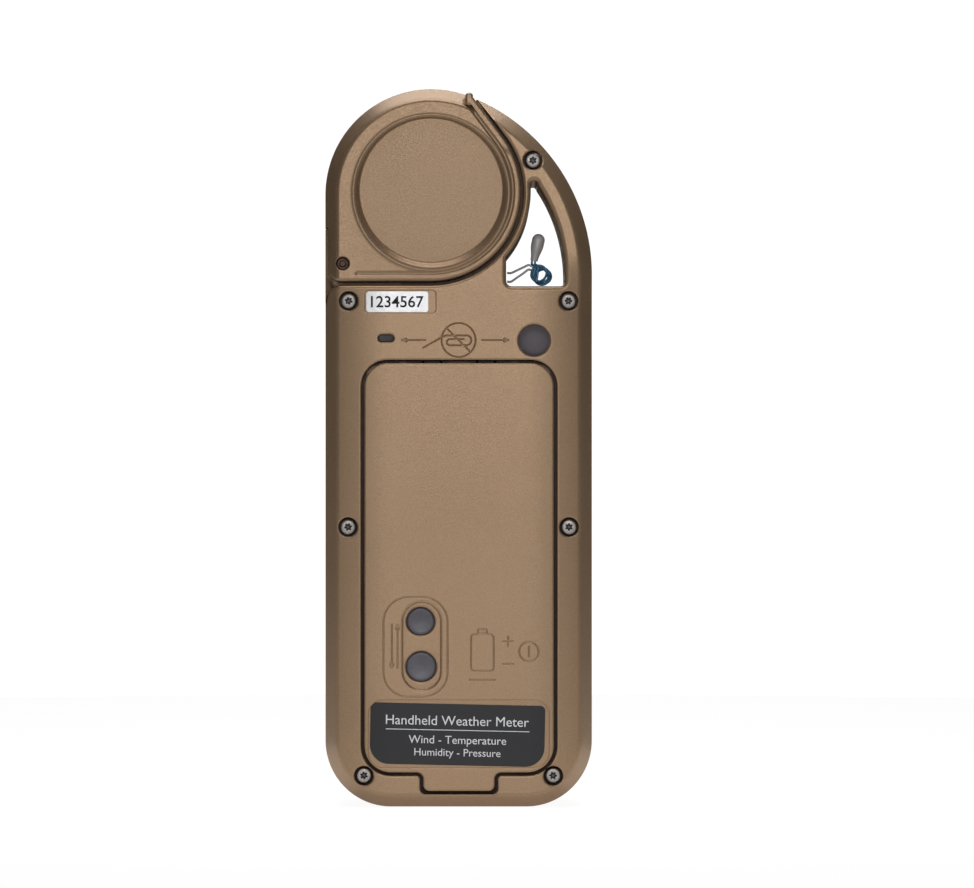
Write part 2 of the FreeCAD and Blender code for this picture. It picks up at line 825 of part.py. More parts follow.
def door_label():
    return plate("door_label", 13.8, 13.95, -15.2, 7.5, 15.6, 18.3, 2.2)


def infrared_windows():
    body = new_body("infrared_windows")
    pad(body, "door_inner", 13.3, circle(6.7, 32.9, 2.5), circle(6.6, 24.9, 2.7))
    return body


def infrared_board():
    return plate("infrared_board", 7.2, 8.2, 4.4, 20.4, 11.6, 37.4, 0.5)


def infrared_diodes():
    body = new_body("infrared_diodes")
    pad(body, 8.2, 11.4, circle(6.65, 24.9, 1.5), circle(6.65, 32.9, 1.5))
    return body


def battery_cell():
    """One AA cell standing along Z, with its button at the head."""
    body = new_body("battery_cell")
    button = 1.0
    pad(body, "cell_foot", f"cell_foot + cell_length - {button}",
        circle("cell_across", "cell_depth", "cell_radius"), plane="XY_Plane")
    pad(body, f"cell_foot + cell_length - {button}", "cell_foot + cell_length",
        circle("cell_across", "cell_depth", 2.75), plane="XY_Plane")
    return body


def battery_positive_contact():
    body = new_body("battery_positive_contact")
    strip = rectangle("cell_across - 5", "cell_depth - 4", "cell_across + 5", "cell_depth + 4")
    pad(body, 70.6, 71.2, strip, plane="XY_Plane")
    pad(body, "cell_foot + cell_length", 70.6, circle("cell_across", "cell_depth", 2.2), plane="XY_Plane")
    return body


def battery_negative_spring():
    """A spring on its plate, as stacked turns that narrow towards the cell."""
    body = new_body("battery_negative_spring")
    foot_plate = rectangle("cell_across - 5", "cell_depth - 5", "cell_across + 5", "cell_depth + 5")
    pad(body, 11.8, 12.3, foot_plate, plane="XY_Plane")
    wire = 0.7
    turns = 4
    rise = (value("cell_foot") - wire - 12.3) / (turns - 1)
    for number in range(turns):
        foot = 12.3 + rise * number
        radius = 4.4 - 0.5 * number
        pad(body, foot, foot + wire, circle("cell_across", "cell_depth", radius),
            circle("cell_across", "cell_depth", radius - wire), plane="XY_Plane")
    return body


# Board, display and keys

def main_board():
    return plate("main_board", "board_front", "board_back", "-board_half", 9.6, "board_half", 86.0, 1.5)


def microcontroller():
    return plate("microcontroller", "board_back", "board_back + 1.2", -4.5, 74.4, 4.5, 83.4, 0.3)


def lcd_module():
    return plate("lcd_module", -11.1, -8.9, -15.4, 48.2, 15.4, 84.0, 0.4)


def lcd_frame():
    body = new_body("lcd_frame")
    pad(body, -11.4, "board_front", rectangle(-16.4, 47.2, 16.4, 85.0, 0.5),
        rectangle(-15.4, 48.2, 15.4, 84.0, 0.4))
    return body


def display_window():
    return plate("display_window", -13.7, "bezel_level", "-pane_half", "pane_foot", "pane_half",
                 "pane_crown", 1.9)


def front_bezel():
    body = new_body("front_bezel")
    pad(body, "key_level", "bezel_level", bezel_line(0))
    pocket(body, "key_level", "bezel_level",
           rectangle("-pane_half - 0.1", "pane_foot - 0.1", "pane_half + 0.1", "pane_crown + 0.1", 2.0))
    pocket(body, "key_level", "bezel_level", *[key_line(key, "key_play") for key in KEYS])
    return body


def keypad_mat():
    body = plate("keypad_mat", -11.4, -10.1, -15.9, 8.4, 15.9, 44.4, 1.0)
    pad(body, -10.1, -9.25, *[circle(key[1], key[2], 1.4) for key in KEYS])
    return body


def dome_switches():
    body = new_body("dome_switches")
    pad(body, -9.1, "board_front", *[circle(key[1], key[2], 2.0) for key in KEYS])
    return body


def key_cap(key):
    body = new_body(key[0])
    pad(body, "key_level", "key_back", key_line(key, 0))
    return body


SUB_PARTS = (
    rear_case,
    front_case,
    case_gasket,
    case_screws,
    flip_cover,
    cover_pivot_pin,
    impeller_housing,
    impeller_rotor,
    impeller_axle,
    impeller_bearings,
    impeller_magnet,
    impeller_pickup,
    thermistor_grommet,
    thermistor_leads,
    thermistor_bead,
    sensor_board,
    humidity_sensor,
    humidity_membrane,
    pressure_sensor,
    pressure_port_plug,
    serial_label,
    battery_door,
    door_gasket,
    door_label,
    infrared_windows,
    infrared_board,
    infrared_diodes,
    battery_cell,
    battery_positive_contact,
    battery_negative_spring,
    main_board,
    microcontroller,
    lcd_module,
    lcd_frame,
    display_window,
    front_bezel,
    keypad_mat,
    dome_switches,
)

sub_parts = [build() for build in SUB_PARTS] + [key_cap(key) for key in KEYS]
doc.recompute()

for item in doc.Objects:
    if "Invalid" in item.State or "Error" in item.State:
        raise RuntimeError(f"{item.Label} did not recompute")
for part in sub_parts:
    if part.Shape.isNull() or not part.Shape.isValid():
        raise RuntimeError(f"{part.Label} has no valid shape")

os.makedirs("parts", exist_ok=True)
for part in sub_parts:
    part.Shape.exportStep(f"parts/{part.Label}.step")
    print(part.Label, len(part.Shape.Solids), round(part.Shape.Volume, 1))
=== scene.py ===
import json
from math import atan, atan2, ceil, cos, pi, radians, sin, sqrt, tan

import bpy
import bmesh
import numpy as np
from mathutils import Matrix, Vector
from mathutils.geometry import delaunay_2d_cdt


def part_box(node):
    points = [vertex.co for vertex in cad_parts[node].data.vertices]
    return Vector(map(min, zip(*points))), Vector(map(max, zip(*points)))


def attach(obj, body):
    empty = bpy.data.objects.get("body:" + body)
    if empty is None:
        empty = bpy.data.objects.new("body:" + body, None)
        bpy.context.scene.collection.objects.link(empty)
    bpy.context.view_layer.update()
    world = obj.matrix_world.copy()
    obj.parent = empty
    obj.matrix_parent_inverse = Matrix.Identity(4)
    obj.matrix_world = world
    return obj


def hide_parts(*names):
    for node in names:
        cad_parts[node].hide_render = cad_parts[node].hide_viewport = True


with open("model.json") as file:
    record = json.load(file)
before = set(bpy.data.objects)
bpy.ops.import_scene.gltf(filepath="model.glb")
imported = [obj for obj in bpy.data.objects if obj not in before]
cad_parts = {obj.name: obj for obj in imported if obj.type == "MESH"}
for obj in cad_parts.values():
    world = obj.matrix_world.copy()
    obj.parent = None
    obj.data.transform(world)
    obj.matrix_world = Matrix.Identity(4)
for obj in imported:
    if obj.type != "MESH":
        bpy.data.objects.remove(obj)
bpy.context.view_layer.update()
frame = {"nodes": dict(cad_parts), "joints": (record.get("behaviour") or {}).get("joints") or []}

# A handheld weather meter, seen from its back.  Shapes are worked out in millimetres and
# written to the meshes in metres.  An outline lies in the X-Z plane; heights run along Y.

MM = 0.001


def low(node):
    return np.array(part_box(node)[0]) / MM


def high(node):
    return np.array(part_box(node)[1]) / MM


JOINTS = {joint["name"]: joint for joint in frame["joints"]}
HALF_WIDTH = high("rear_case")[0]
FACE = high("rear_case")[1]
LENGTH = high("flip_cover")[2]
SEAM = high("front_case")[1]
COVER_FACE = high("flip_cover")[1]
FAN = np.array(JOINTS["impeller_spin"]["pos_m"])[[0, 2]] / MM
PIVOT = np.array(JOINTS["cover_hinge"]["pos_m"])[[0, 2]] / MM

# Outline radii and levels that the boxes don't give
FOOT_R = 11.6
ARCH_R, ARCH_Z = 33.9, 93.9
COVER_R = 18.7
PEAK_X = -3.2
TONGUE = 10.0
DECK = 10.0
REBATE = 12.0
GAP = 0.28

# Outline tools


def arc(start, end, radius, step=0.6):
    """Points of the shorter arc from start up to, but without, end."""
    start, end = np.array(start, float), np.array(end, float)
    chord = end - start
    length = np.hypot(*chord)
    across = np.array([-chord[1], chord[0]]) / length
    side = 1 if radius > 0 else -1
    centre = (start + end) / 2 + across * sqrt(max(radius ** 2 - length ** 2 / 4, 0)) * side
    first = atan2(*(start - centre)[::-1])
    sweep = (atan2(*(end - centre)[::-1]) - first) * side % (2 * pi) * side
    count = max(5, ceil(abs(sweep * radius) / step), ceil(abs(sweep) / 0.14))
    count = min(count, ceil(abs(sweep) / 0.02) + 1)
    angles = first + sweep * np.arange(count) / count
    return centre + abs(radius) * np.stack([np.cos(angles), np.sin(angles)], 1)


def line(start, end, step=3.0):
    start, end = np.array(start, float), np.array(end, float)
    count = max(1, ceil(np.hypot(*(end - start)) / step))
    return start + (end - start) * np.arange(count)[:, None] / count


def trace(corners, step=0.6):
    """A closed outline.  A corner is (x, z), or (x, z, radius) where an arc leaves it."""
    parts = []
    for number, corner in enumerate(corners):
        following = corners[(number + 1) % len(corners)][:2]
        if np.hypot(following[0] - corner[0], following[1] - corner[1]) < 1e-6:
            continue
        if len(corner) == 3:
            parts.append(arc(corner[:2], following, corner[2], step))
        else:
            parts.append(line(corner, following))
    return np.concatenate(parts)


def ring(centre, radius, step=0.6):
    x, z = centre
    count = max(20, ceil(2 * pi * radius / step))
    angles = np.arange(count) * 2 * pi / count
    return np.stack([x + radius * np.cos(angles), z + radius * np.sin(angles)], 1)


def box_line(left, foot, right, head, corner=0.0):
    if corner <= 0:
        return trace([(left, foot), (right, foot), (right, head), (left, head)])
    return trace([
        (left + corner, foot), (right - corner, foot, corner), (right, foot + corner),
        (right, head - corner, corner), (right - corner, head), (left + corner, head, corner),
        (left, head - corner), (left, foot + corner, corner),
    ], min(0.6, max(corner * 0.25, 0.05)))


def offset(outline, amount, closed=True):
    """Each point moved to the left of its direction of travel."""
    ahead = np.roll(outline, -1, 0) - outline
    if not closed:
        ahead[-1] = ahead[-2]
    ahead /= np.maximum(np.hypot(ahead[:, 0], ahead[:, 1])[:, None], 1e-9)
    behind = np.roll(ahead, 1, 0)
    if not closed:
        behind[0] = ahead[0]
    normal = np.stack([-(ahead + behind)[:, 1], (ahead + behind)[:, 0]], 1) / 2
    size = np.maximum((normal ** 2).sum(1)[:, None], 0.5)
    return outline + normal / size * amount


def by_chunks(measure, points, size=3000):
    return np.concatenate([measure(points[i:i + size]) for i in range(0, max(len(points), 1), size)])


def inside(points, outline):
    start, end = outline, np.roll(outline, -1, 0)
    rise = end[:, 1] - start[:, 1]
    rise = np.where(rise == 0, 1e-12, rise)

    def measure(some):
        x, z = some[:, :1], some[:, 1:]
        crossed = (start[:, 1] > z) != (end[:, 1] > z)
        at = start[:, 0] + (z - start[:, 1]) * (end[:, 0] - start[:, 0]) / rise
        return np.count_nonzero(crossed & (x < at), axis=1) % 2 == 1
    return by_chunks(measure, points)


def distance(points, outline, closed=True):
    start = outline if closed else outline[:-1]
    run = np.roll(outline, -1, 0) - outline if closed else outline[1:] - outline[:-1]
    size = np.maximum((run ** 2).sum(1), 1e-12)

    def measure(some):
        x = some[:, :1] - start[:, 0]
        z = some[:, 1:] - start[:, 1]
        share = np.clip((x * run[:, 0] + z * run[:, 1]) / size, 0, 1)
        return np.sqrt(((x - share * run[:, 0]) ** 2 + (z - share * run[:, 1]) ** 2).min(1))
    return by_chunks(measure, points)


# Height profiles


def lip(away, radius):
    """How far a rounded lip has dropped at a distance from its edge."""
    away = np.clip(away, 0, radius)
    return radius - np.sqrt(radius ** 2 - (radius - away) ** 2)


def edge_lip(points, outline, radius):
    return lip(distance(points, outline), radius)


def lip_rings(outline, radius, side=1):
    """Rings that carry a lip, with one more where the flat face begins."""
    places = [radius - radius * cos(radians(turn)) for turn in (18, 36, 54, 72, 90)] + [radius + 0.12]
    return [offset(outline, side * place) for place in places]


FACET_WIDTH = 2.1
FACET_SLOPE = 1.85
FACET_ROLL = 0.9
FACET_REACH = FACET_ROLL * tan(atan(FACET_SLOPE) / 2)
FACET_TURN = FACET_REACH * cos(atan(FACET_SLOPE))


def facet(away):
    """Drop of the slanted rim, rolled into the face, at a distance from the silhouette."""
    slant = FACET_SLOPE * (FACET_WIDTH - away)
    centre = FACET_WIDTH + FACET_REACH
    roll = FACET_ROLL - np.sqrt(np.maximum(FACET_ROLL ** 2 - np.clip(centre - away, 0, FACET_ROLL) ** 2, 0))
    return np.where(away < FACET_WIDTH - FACET_TURN, slant, np.where(away < centre, roll, 0))


FACET_RINGS = [0.12] + list(np.linspace(FACET_WIDTH - FACET_TURN, FACET_WIDTH + FACET_REACH, 7))
FACET_RINGS += [FACET_WIDTH + FACET_REACH + 0.12]

CROWN_START, CROWN_R = 11.5, 48.0
CROWN_FADE = (88.0, 98.0)


def crown(points):
    """The sides of the face fall away slightly, below the fan."""
    reach = np.maximum(np.abs(points[:, 0]) - CROWN_START, 0)
    fade = np.clip((CROWN_FADE[1] - points[:, 1]) / (CROWN_FADE[1] - CROWN_FADE[0]), 0, 1)
    return reach ** 2 / (2 * CROWN_R) * fade * fade * (3 - 2 * fade)


def crown_lines(foot, head):
    places = np.arange(CROWN_START, HALF_WIDTH, 1.2)
    return [line((side * x, foot), (side * x, head), 2.0) for x in places for side in (-1, 1)]


def groove(points, strokes, width, depth):
    """Drop of engraved strokes with a round bottom."""
    drop = np.zeros(len(points))
    for stroke, closed in strokes:
        near = distance(points, stroke, closed) / (width / 2)
        drop = np.maximum(drop, depth * np.clip(1 - near ** 2, 0, 1))
    return drop


def capsule(stroke, reach):
    """The closed outline at some reach round an open stroke, with round ends."""
    ends = []
    for tip, before in ((stroke[-1], stroke[-2]), (stroke[0], stroke[1])):
        ahead = atan2(tip[1] - before[1], tip[0] - before[0])
        turns = ahead + np.radians(np.arange(-75, 76, 25))
        ends.append(tip + reach * np.stack([np.cos(turns), np.sin(turns)], 1))
    right, left = offset(stroke, -reach, False), offset(stroke, reach, False)
    return np.concatenate([right, ends[0], left[::-1], ends[1]])


def groove_rings(strokes, width):
    hints = []
    for stroke, closed in strokes:
        hints.append((stroke, closed))
        for share in (0.17, 0.34, 0.5, 0.62):
            if closed:
                hints += [offset(stroke, side * share * width) for side in (-1, 1)]
            else:
                hints.append(capsule(stroke, share * width))
    return hints


# Solids from heights


class Solid:
    """Points (x, y, z) in millimetres and faces."""
    def __init__(self, points, faces):
        self.points = np.array(points, float).reshape(-1, 3)
        self.faces = [list(face) for face in faces]

    def moved(self, shift=(0, 0, 0), matrix=None):
        points = self.points if matrix is None else self.points @ np.array(matrix, float).T
        return Solid(points + np.array(shift, float), self.faces)

    def __add__(self, other):
        first = len(self.points)
        faces = self.faces + [[index + first for index in face] for face in other.faces]
        return Solid(np.concatenate([self.points, other.points]), faces)


def last_region(points, regions):
    """Number of the last region that holds each point, or -1."""
    found = np.full(len(points), -1)
    for number, (outlines, _) in enumerate(regions):
        held = np.ones(len(points), bool)
        for outline in outlines:
            held &= inside(points, outline)
        found[held] = number
    return found


def relief(tops, bottoms, hints=(), flip=1, opened=None, seam=None):
    """A closed solid between two stepped heights over the X-Z plane.

    tops and bottoms list ([outlines], height): the last entry whose outlines all hold a place
    gives its height there, as a number, a function of places, or None for a hole.
    Where bottom is the opened level no face is made, and the solid is mirrored there.
    seam is (outline, level, inset): the bottom rim of the outline is drawn in.
    """
    curves = [(outline, True) for outlines, _ in list(tops) + list(bottoms) for outline in outlines]
    curves += [hint if isinstance(hint, tuple) else (hint, True) for hint in hints]
    unique, places, edges = {}, [], []
    for curve, closed in curves:
        key = np.round(curve, 5).tobytes()
        if key in unique:
            continue
        unique[key] = True
        first = len(places)
        places.extend(Vector((float(x), float(z))) for x, z in curve)
        edges.extend((first + i, first + i + 1) for i in range(len(curve) - 1))
        if closed:
            edges.append((len(places) - 1, first))
    flat, _, triangles, _, _, _ = delaunay_2d_cdt(places, edges, [], 0, 1e-4)
    flat = np.array([(p.x, p.y) for p in flat])
    triangles = np.array(triangles)
    middle = flat[triangles].mean(1)
    top_of, bottom_of = last_region(middle, tops), last_region(middle, bottoms)

    def heights(regions, chosen):
        """Height of each corner of each triangle, or not a number in a hole."""
        result = np.full(triangles.shape, np.nan)
        for number, (_, height) in enumerate(regions):
            rows = np.nonzero(chosen == number)[0]
            if height is None or not len(rows):
                continue
            corners = np.unique(triangles[rows])
            at = np.zeros(len(flat))
            at[corners] = height(flat[corners]) if callable(height) else height
            result[rows] = at[triangles[rows]]
        return np.round(result, 4)

    top, bottom = heights(tops, top_of), heights(bottoms, bottom_of)
    solid_rows = ~np.isnan(top).any(1) & ~np.isnan(bottom).any(1)
    solid_rows &= (top - bottom).min(1) > 1e-3
    levels = {}
    for row in np.nonzero(solid_rows)[0]:
        for corner in range(3):
            at = levels.setdefault(int(triangles[row][corner]), set())
            at.update((top[row][corner], bottom[row][corner]))
    if seam is not None:
        near = distance(flat, seam[0]) < 2e-3
        for place, at in levels.items():
            if near[place]:
                crest = max(at)
                at.update(level for level in (seam[1], crest - 0.35) if min(at) < level < crest)
    ordered = {place: sorted(at) for place, at in levels.items()}
    index, points, faces = {}, [], []

    def vertex(place, height):
        key = (place, height)
        if key not in index:
            index[key] = len(points)
            points.append((flat[place][0], height, flat[place][1]))
        return index[key]

    sides = {}
    for row in np.nonzero(solid_rows)[0]:
        a, b, c = (int(v) for v in triangles[row])
        faces.append([vertex(p, h) for p, h in zip((a, b, c), top[row])])
        if opened is None or bottom[row].max() > opened + 1e-6:
            faces.append([vertex(p, h) for p, h in zip((c, b, a), bottom[row][::-1])])
        for i, j in ((0, 1), (1, 2), (2, 0)):
            p, q = int(triangles[row][i]), int(triangles[row][j])
            interval = {p: (bottom[row][i], top[row][i]), q: (bottom[row][j], top[row][j])}
            sides.setdefault((min(p, q), max(p, q)), []).append(interval)

    def wall(p, q, low_p, high_p, low_q, high_q):
        up = [vertex(p, h) for h in ordered[p] if min(low_p, high_p) <= h <= max(low_p, high_p)]
        down = [vertex(q, h) for h in ordered[q] if min(low_q, high_q) <= h <= max(low_q, high_q)]
        if len(up) == len(down):
            for k in range(len(up) - 1):
                faces.append([up[k], up[k + 1], down[k + 1], down[k]])
        elif len(up) + len(down) > 2:
            faces.append(up + down[::-1])

    for (p, q), met in sides.items():
        if len(met) == 1:
            wall(p, q, *met[0][p], *met[0][q])
            continue
        one, other = met
        for end in (0, 1):
            if (one[p][end], one[q][end]) != (other[p][end], other[q][end]):
                wall(p, q, one[p][end], other[p][end], one[q][end], other[q][end])

    points = np.array(points)
    if seam is not None:
        rim = distance(points[:, [0, 2]], seam[0]) < 2e-3
        rim &= points[:, 1] < seam[1] - 1e-3
        flush = points[rim][:, [0, 2]]
        drawn = offset(seam[0], seam[2])
        nearest = ((flush[:, None, :] - seam[0]) ** 2).sum(2).argmin(1)
        points[rim, 0] += (drawn - seam[0])[nearest][:, 0]
        points[rim, 2] += (drawn - seam[0])[nearest][:, 1]
    points[:, 1] *= flip
    if opened is not None:
        count = len(points)
        other = [(i if abs(points[i][1] - opened) < 1e-6 else i + count) for i in range(count)]
        faces += [[other[i] for i in face[::-1]] for face in faces]
        points = np.concatenate([points, points * (1, -1, 1)])
    return Solid(points, faces)


def lathe(profile, centre, count=48):
    """A solid turned about an axis along Y.  The profile is a closed loop of (radius, y)."""
    x, z = centre
    points, faces = [], []
    for k in range(count):
        angle = 2 * pi * k / count
        for radius, y in profile:
            points.append((x + radius * cos(angle), y, z + radius * sin(angle)))
    size = len(profile)
    for k in range(count):
        here, there = k * size, (k + 1) % count * size
        for i in range(size):
            j = (i + 1) % size
            faces.append([here + i, here + j, there + j, there + i])
    return Solid(points, faces)


def tube(route, radii, count=12, squash=1.0):
    """A closed round tube along points in 3D, with a radius at each point."""
    route = np.array(route, float)
    radii = np.broadcast_to(np.array(radii, float), len(route))
    along = np.gradient(route, axis=0)
    along /= np.linalg.norm(along, axis=1)[:, None]
    side = np.cross(along[0], (0, 1, 0))
    if np.linalg.norm(side) < 1e-3:
        side = np.cross(along[0], (1, 0, 0))
    points, faces = [], []
    for place, ahead, radius in zip(route, along, radii):
        side = side - ahead * (side @ ahead)
        side /= np.linalg.norm(side)
        up = np.cross(side, ahead)
        for k in range(count):
            angle = 2 * pi * k / count
            points.append(place + radius * (side * cos(angle) + up * squash * sin(angle)))
    for row in range(len(route) - 1):
        for k in range(count):
            a, b = row * count + k, row * count + (k + 1) % count
            faces.append([a, b, b + count, a + count])
    faces.append(list(range(count))[::-1])
    faces.append([(len(route) - 1) * count + k for k in range(count)])
    return Solid(points, faces)


def placed(name, data):
    """A new object that holds the data, in the scene."""
    item = bpy.data.objects.new(name, data)
    bpy.context.scene.collection.objects.link(item)
    return item


def build(name, solid, look, stands_for=(), body="case", slot=None, sharp=32, shade=None):
    """Make the object, give it its finish and fix it to its body.  slot is not used.

    shade gives, from 0 to 1, how dark the painted shade is at each point, in gaps and recesses that would lie
    in shadow.
    """
    mesh = bpy.data.meshes.new(name)
    mesh.from_pydata((solid.points * MM).tolist(), [], solid.faces)
    shape = bmesh.new()
    shape.from_mesh(mesh)
    bmesh.ops.remove_doubles(shape, verts=shape.verts, dist=0.001 * MM)
    bmesh.ops.dissolve_degenerate(shape, dist=1e-7, edges=shape.edges)
    loose = [vert for vert in shape.verts if not vert.link_faces]
    bmesh.ops.delete(shape, geom=loose, context="VERTS")
    bmesh.ops.recalc_face_normals(shape, faces=shape.faces)
    shape.to_mesh(mesh)
    shape.free()
    mesh.shade_smooth()
    mesh.set_sharp_from_angle(angle=radians(sharp))
    if shade is not None:
        places = np.array([vert.co for vert in mesh.vertices]) / MM
        # The painted shade is kept in an attribute that the materials read to darken the colour.
        attribute = mesh.attributes.new("painted_shade", "FLOAT", "POINT")
        attribute.data.foreach_set("value", np.clip(shade(places), 0, 1).astype(np.float32))
    piece = placed(name, mesh)
    mesh.materials.append(MAT[look])
    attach(piece, body)
    slot or look
    if stands_for:
        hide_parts(*stands_for)
    return piece


# Materials


def feed(tree, node, inputs):
    """Give a node its inputs: each is a value, or another node's output that is wired to it."""
    for socket, value in inputs.items():
        if isinstance(value, bpy.types.NodeSocket):
            tree.links.new(value, node.inputs[socket])
        else:
            node.inputs[socket].default_value = value
    return node


def add(tree, kind, inputs=None, **settings):
    node = tree.nodes.new("ShaderNode" + kind)
    for name, value in settings.items():
        setattr(node, name, value)
    return feed(tree, node, inputs or {})


def shader(name, colour, rough, metal=0.0, spec=0.5):
    """A principled material, its node tree and its shader."""
    material = bpy.data.materials.new(name)
    material.use_nodes = True
    tree = material.node_tree
    surface = feed(tree, tree.nodes["Principled BSDF"], {
        "Base Color": (*colour, 1), "Roughness": rough, "Metallic": metal, "Specular IOR Level": spec})
    return material, tree, surface


def srgb(red, green, blue):
    """Linear colour of a 0-255 screen colour."""
    shares = [value / 255 for value in (red, green, blue)]
    return tuple(s / 12.92 if s <= 0.04045 else ((s + 0.055) / 1.055) ** 2.4 for s in shares)


def noise(tree, scale, detail=3.0, rough=0.55):
    where = add(tree, "TexCoord").outputs["Object"]
    return add(tree, "TexNoise", {"Scale": scale, "Detail": detail, "Roughness": rough,
                                  "Vector": where}).outputs["Fac"]


def ramp(tree, source, stops):
    """stops are (place, colour)."""
    node = add(tree, "ValToRGB", {"Fac": source})
    elements = node.color_ramp.elements
    while len(elements) < len(stops):
        elements.new(0.5)
    for element, (place, colour) in zip(elements, stops):
        element.position = place
        element.color = (*colour, 1)
    return node.outputs["Color"]


def spread(tree, source, start, end, low_end=0.3, high_end=0.7):
    """A range from low_end to high_end, stretched from start to end."""
    return add(tree, "MapRange", {"From Min": low_end, "From Max": high_end, "To Min": start, "To Max": end,
                                  "Value": source}).outputs["Result"]


def multiplied(tree, share, colour, other):
    return add(tree, "Mix", {"Factor": share, "A": colour, "B": other}, data_type="RGBA",
               blend_type="MULTIPLY").outputs["Result"]


def coat(tree, surface, colour, shade_colour, fine, rough, height):
    """Wire up a surface: its colour with painted shade mixed in, an uneven gloss and a fine relief."""
    # The painted shade attribute darkens the colour towards the shade colour.
    painted_shade = add(tree, "Attribute", attribute_name="painted_shade").outputs["Fac"]
    bump = add(tree, "Bump", {"Strength": 1.0, "Distance": height * MM, "Height": fine})
    feed(tree, surface, {"Base Color": multiplied(tree, painted_shade, colour, (*shade_colour, 1)),
                         "Roughness": spread(tree, fine, *rough), "Normal": bump.outputs["Normal"]})


def finish(name, colour, rough, metal, spec, grain, height, vary, blotch=40.0):
    """A moulded or machined surface: blotches of colour, fine grain and uneven gloss."""
    material, tree, surface = shader(name, colour, rough, metal, spec)
    darker = tuple(c * (1 - vary) for c in colour)
    lighter = tuple(min(c * (1 + vary), 1) for c in colour)
    blotches = ramp(tree, noise(tree, blotch, 4.0, 0.6), [(0.3, darker), (0.7, lighter)])
    # This near-black is the colour of the painted shade that the attribute mixes in.
    coat(tree, surface, blotches, (0.06, 0.055, 0.05), noise(tree, grain, 2.0, 0.6),
         (rough - 0.06, rough + 0.06), height)
    return material


def shell_plastic(name, shade):
    """Sand-coloured moulded plastic: a spark-eroded grain, soft blotches and polished high spots."""
    colour = tuple(c * shade for c in srgb(176, 146, 116))
    material, tree, surface = shader(name, colour, 0.42, 0.55, 0.42)
    stops = [(place, tuple(c * scale for c in colour))
             for place, scale in ((0.30, 0.95), (0.52, 1), (0.74, 1.05))]
    blotches = ramp(tree, noise(tree, 28.0, 3.0, 0.6), stops)
    mottle = ramp(tree, noise(tree, 5200.0, 2.0, 0.7), [(0.35, (0.82, 0.82, 0.82)), (0.6, (1, 1, 1))])
    # This dark brown is the colour of the painted shade that the attribute mixes in.
    coat(tree, surface, multiplied(tree, 1.0, blotches, mottle), (0.05, 0.04, 0.032),
         noise(tree, 4200.0, 2.0, 0.6), (0.34, 0.46), 0.012)
    return material


def glass(name):
    material, tree, surface = shader(name, (0.92, 0.94, 0.93), 0.03)
    feed(tree, surface, {"Transmission Weight": 1.0, "IOR": 1.46,
                         "Roughness": spread(tree, noise(tree, 60.0, 3.0, 0.6), 0.02, 0.07)})
    return material


# Screen colour, roughness, metal, gloss, grain, height of the grain, unevenness, size of the blotches
FINISHES = {
    "key_rubber": (54, 52, 50, 0.72, 0, 0.3, 1800, 0.02, 0.10),
    "seal_rubber": (38, 36, 35, 0.7, 0, 0.3, 1500, 0.02, 0.12),
    "mat_rubber": (70, 68, 66, 0.7, 0, 0.3, 1500, 0.02, 0.10),
    "screw_steel": (170, 165, 162, 0.46, 1.0, 0.5, 1400, 0.012, 0.10, 300),
    "pin_steel": (78, 62, 56, 0.45, 1.0, 0.5, 1400, 0.01, 0.10, 300),
    "spring_steel": (196, 194, 190, 0.25, 1.0, 0.5, 900, 0.008, 0.06, 200),
    "impeller_plastic": (30, 31, 33, 0.42, 0, 0.5, 1200, 0.015, 0.12),
    "housing_plastic": (40, 41, 43, 0.5, 0, 0.5, 1200, 0.02, 0.12),
    "jewel": (150, 40, 60, 0.12, 0, 0.7, 600, 0.002, 0.10),
    "magnet": (120, 120, 122, 0.35, 1.0, 0.5, 900, 0.01, 0.08),
    "chip": (36, 37, 39, 0.55, 0, 0.4, 2500, 0.01, 0.10),
    "board": (34, 92, 58, 0.42, 0, 0.5, 700, 0.01, 0.15, 160),
    "lead_insulation": (204, 206, 218, 0.42, 0.2, 0.5, 2500, 0.006, 0.14, 400),
    "coil_insulation": (94, 158, 198, 0.38, 0.2, 0.5, 2500, 0.006, 0.20, 500),
    "bead_epoxy": (246, 243, 243, 0.46, 0.15, 0.5, 1800, 0.02, 0.16, 500),
    "membrane": (108, 103, 109, 0.6, 0.1, 0.4, 3000, 0.02, 0.08),
    "plug": (90, 86, 88, 0.6, 0, 0.4, 1500, 0.01, 0.08),
    "dark_label": (24, 24, 30, 0.38, 0, 0.5, 2200, 0.006, 0.12, 120),
    "white_label": (247, 247, 250, 0.42, 0.6, 0.5, 1800, 0.006, 0.02, 120),
    "white_ink": (232, 232, 236, 0.5, 0.4, 0.4, 1800, 0.004, 0.04, 200),
    "black_ink": (44, 44, 46, 0.6, 0, 0.3, 1800, 0.004, 0.08, 200),
    "infrared_filter": (96, 94, 102, 0.34, 0, 0.5, 900, 0.02, 0.14, 350),
    "diode_lens": (40, 34, 44, 0.08, 0, 0.7, 900, 0.002, 0.08),
    "cell_sleeve": (34, 40, 52, 0.3, 0, 0.5, 700, 0.006, 0.08, 90),
    "cell_band": (186, 132, 82, 0.3, 1.0, 0.5, 700, 0.006, 0.08, 90),
    "lcd": (150, 160, 146, 0.42, 0, 0.4, 2000, 0.004, 0.03, 60),
    "lcd_segment": (34, 38, 40, 0.45, 0, 0.3, 2000, 0.002, 0.05, 200),
    "bezel_plastic": (46, 46, 46, 0.5, 0, 0.45, 1600, 0.02, 0.10),
    "frame_plastic": (60, 60, 60, 0.6, 0, 0.4, 1600, 0.02, 0.08),
}
MAT = {name: finish(name, srgb(*row[:3]), *row[3:]) for name, row in FINISHES.items()}
for name, shade in (("case_plastic", 1), ("cover_plastic", 0.88), ("door_plastic", 1.02)):
    MAT[name] = shell_plastic(name, shade)
MAT["display_glass"] = glass("display_glass")

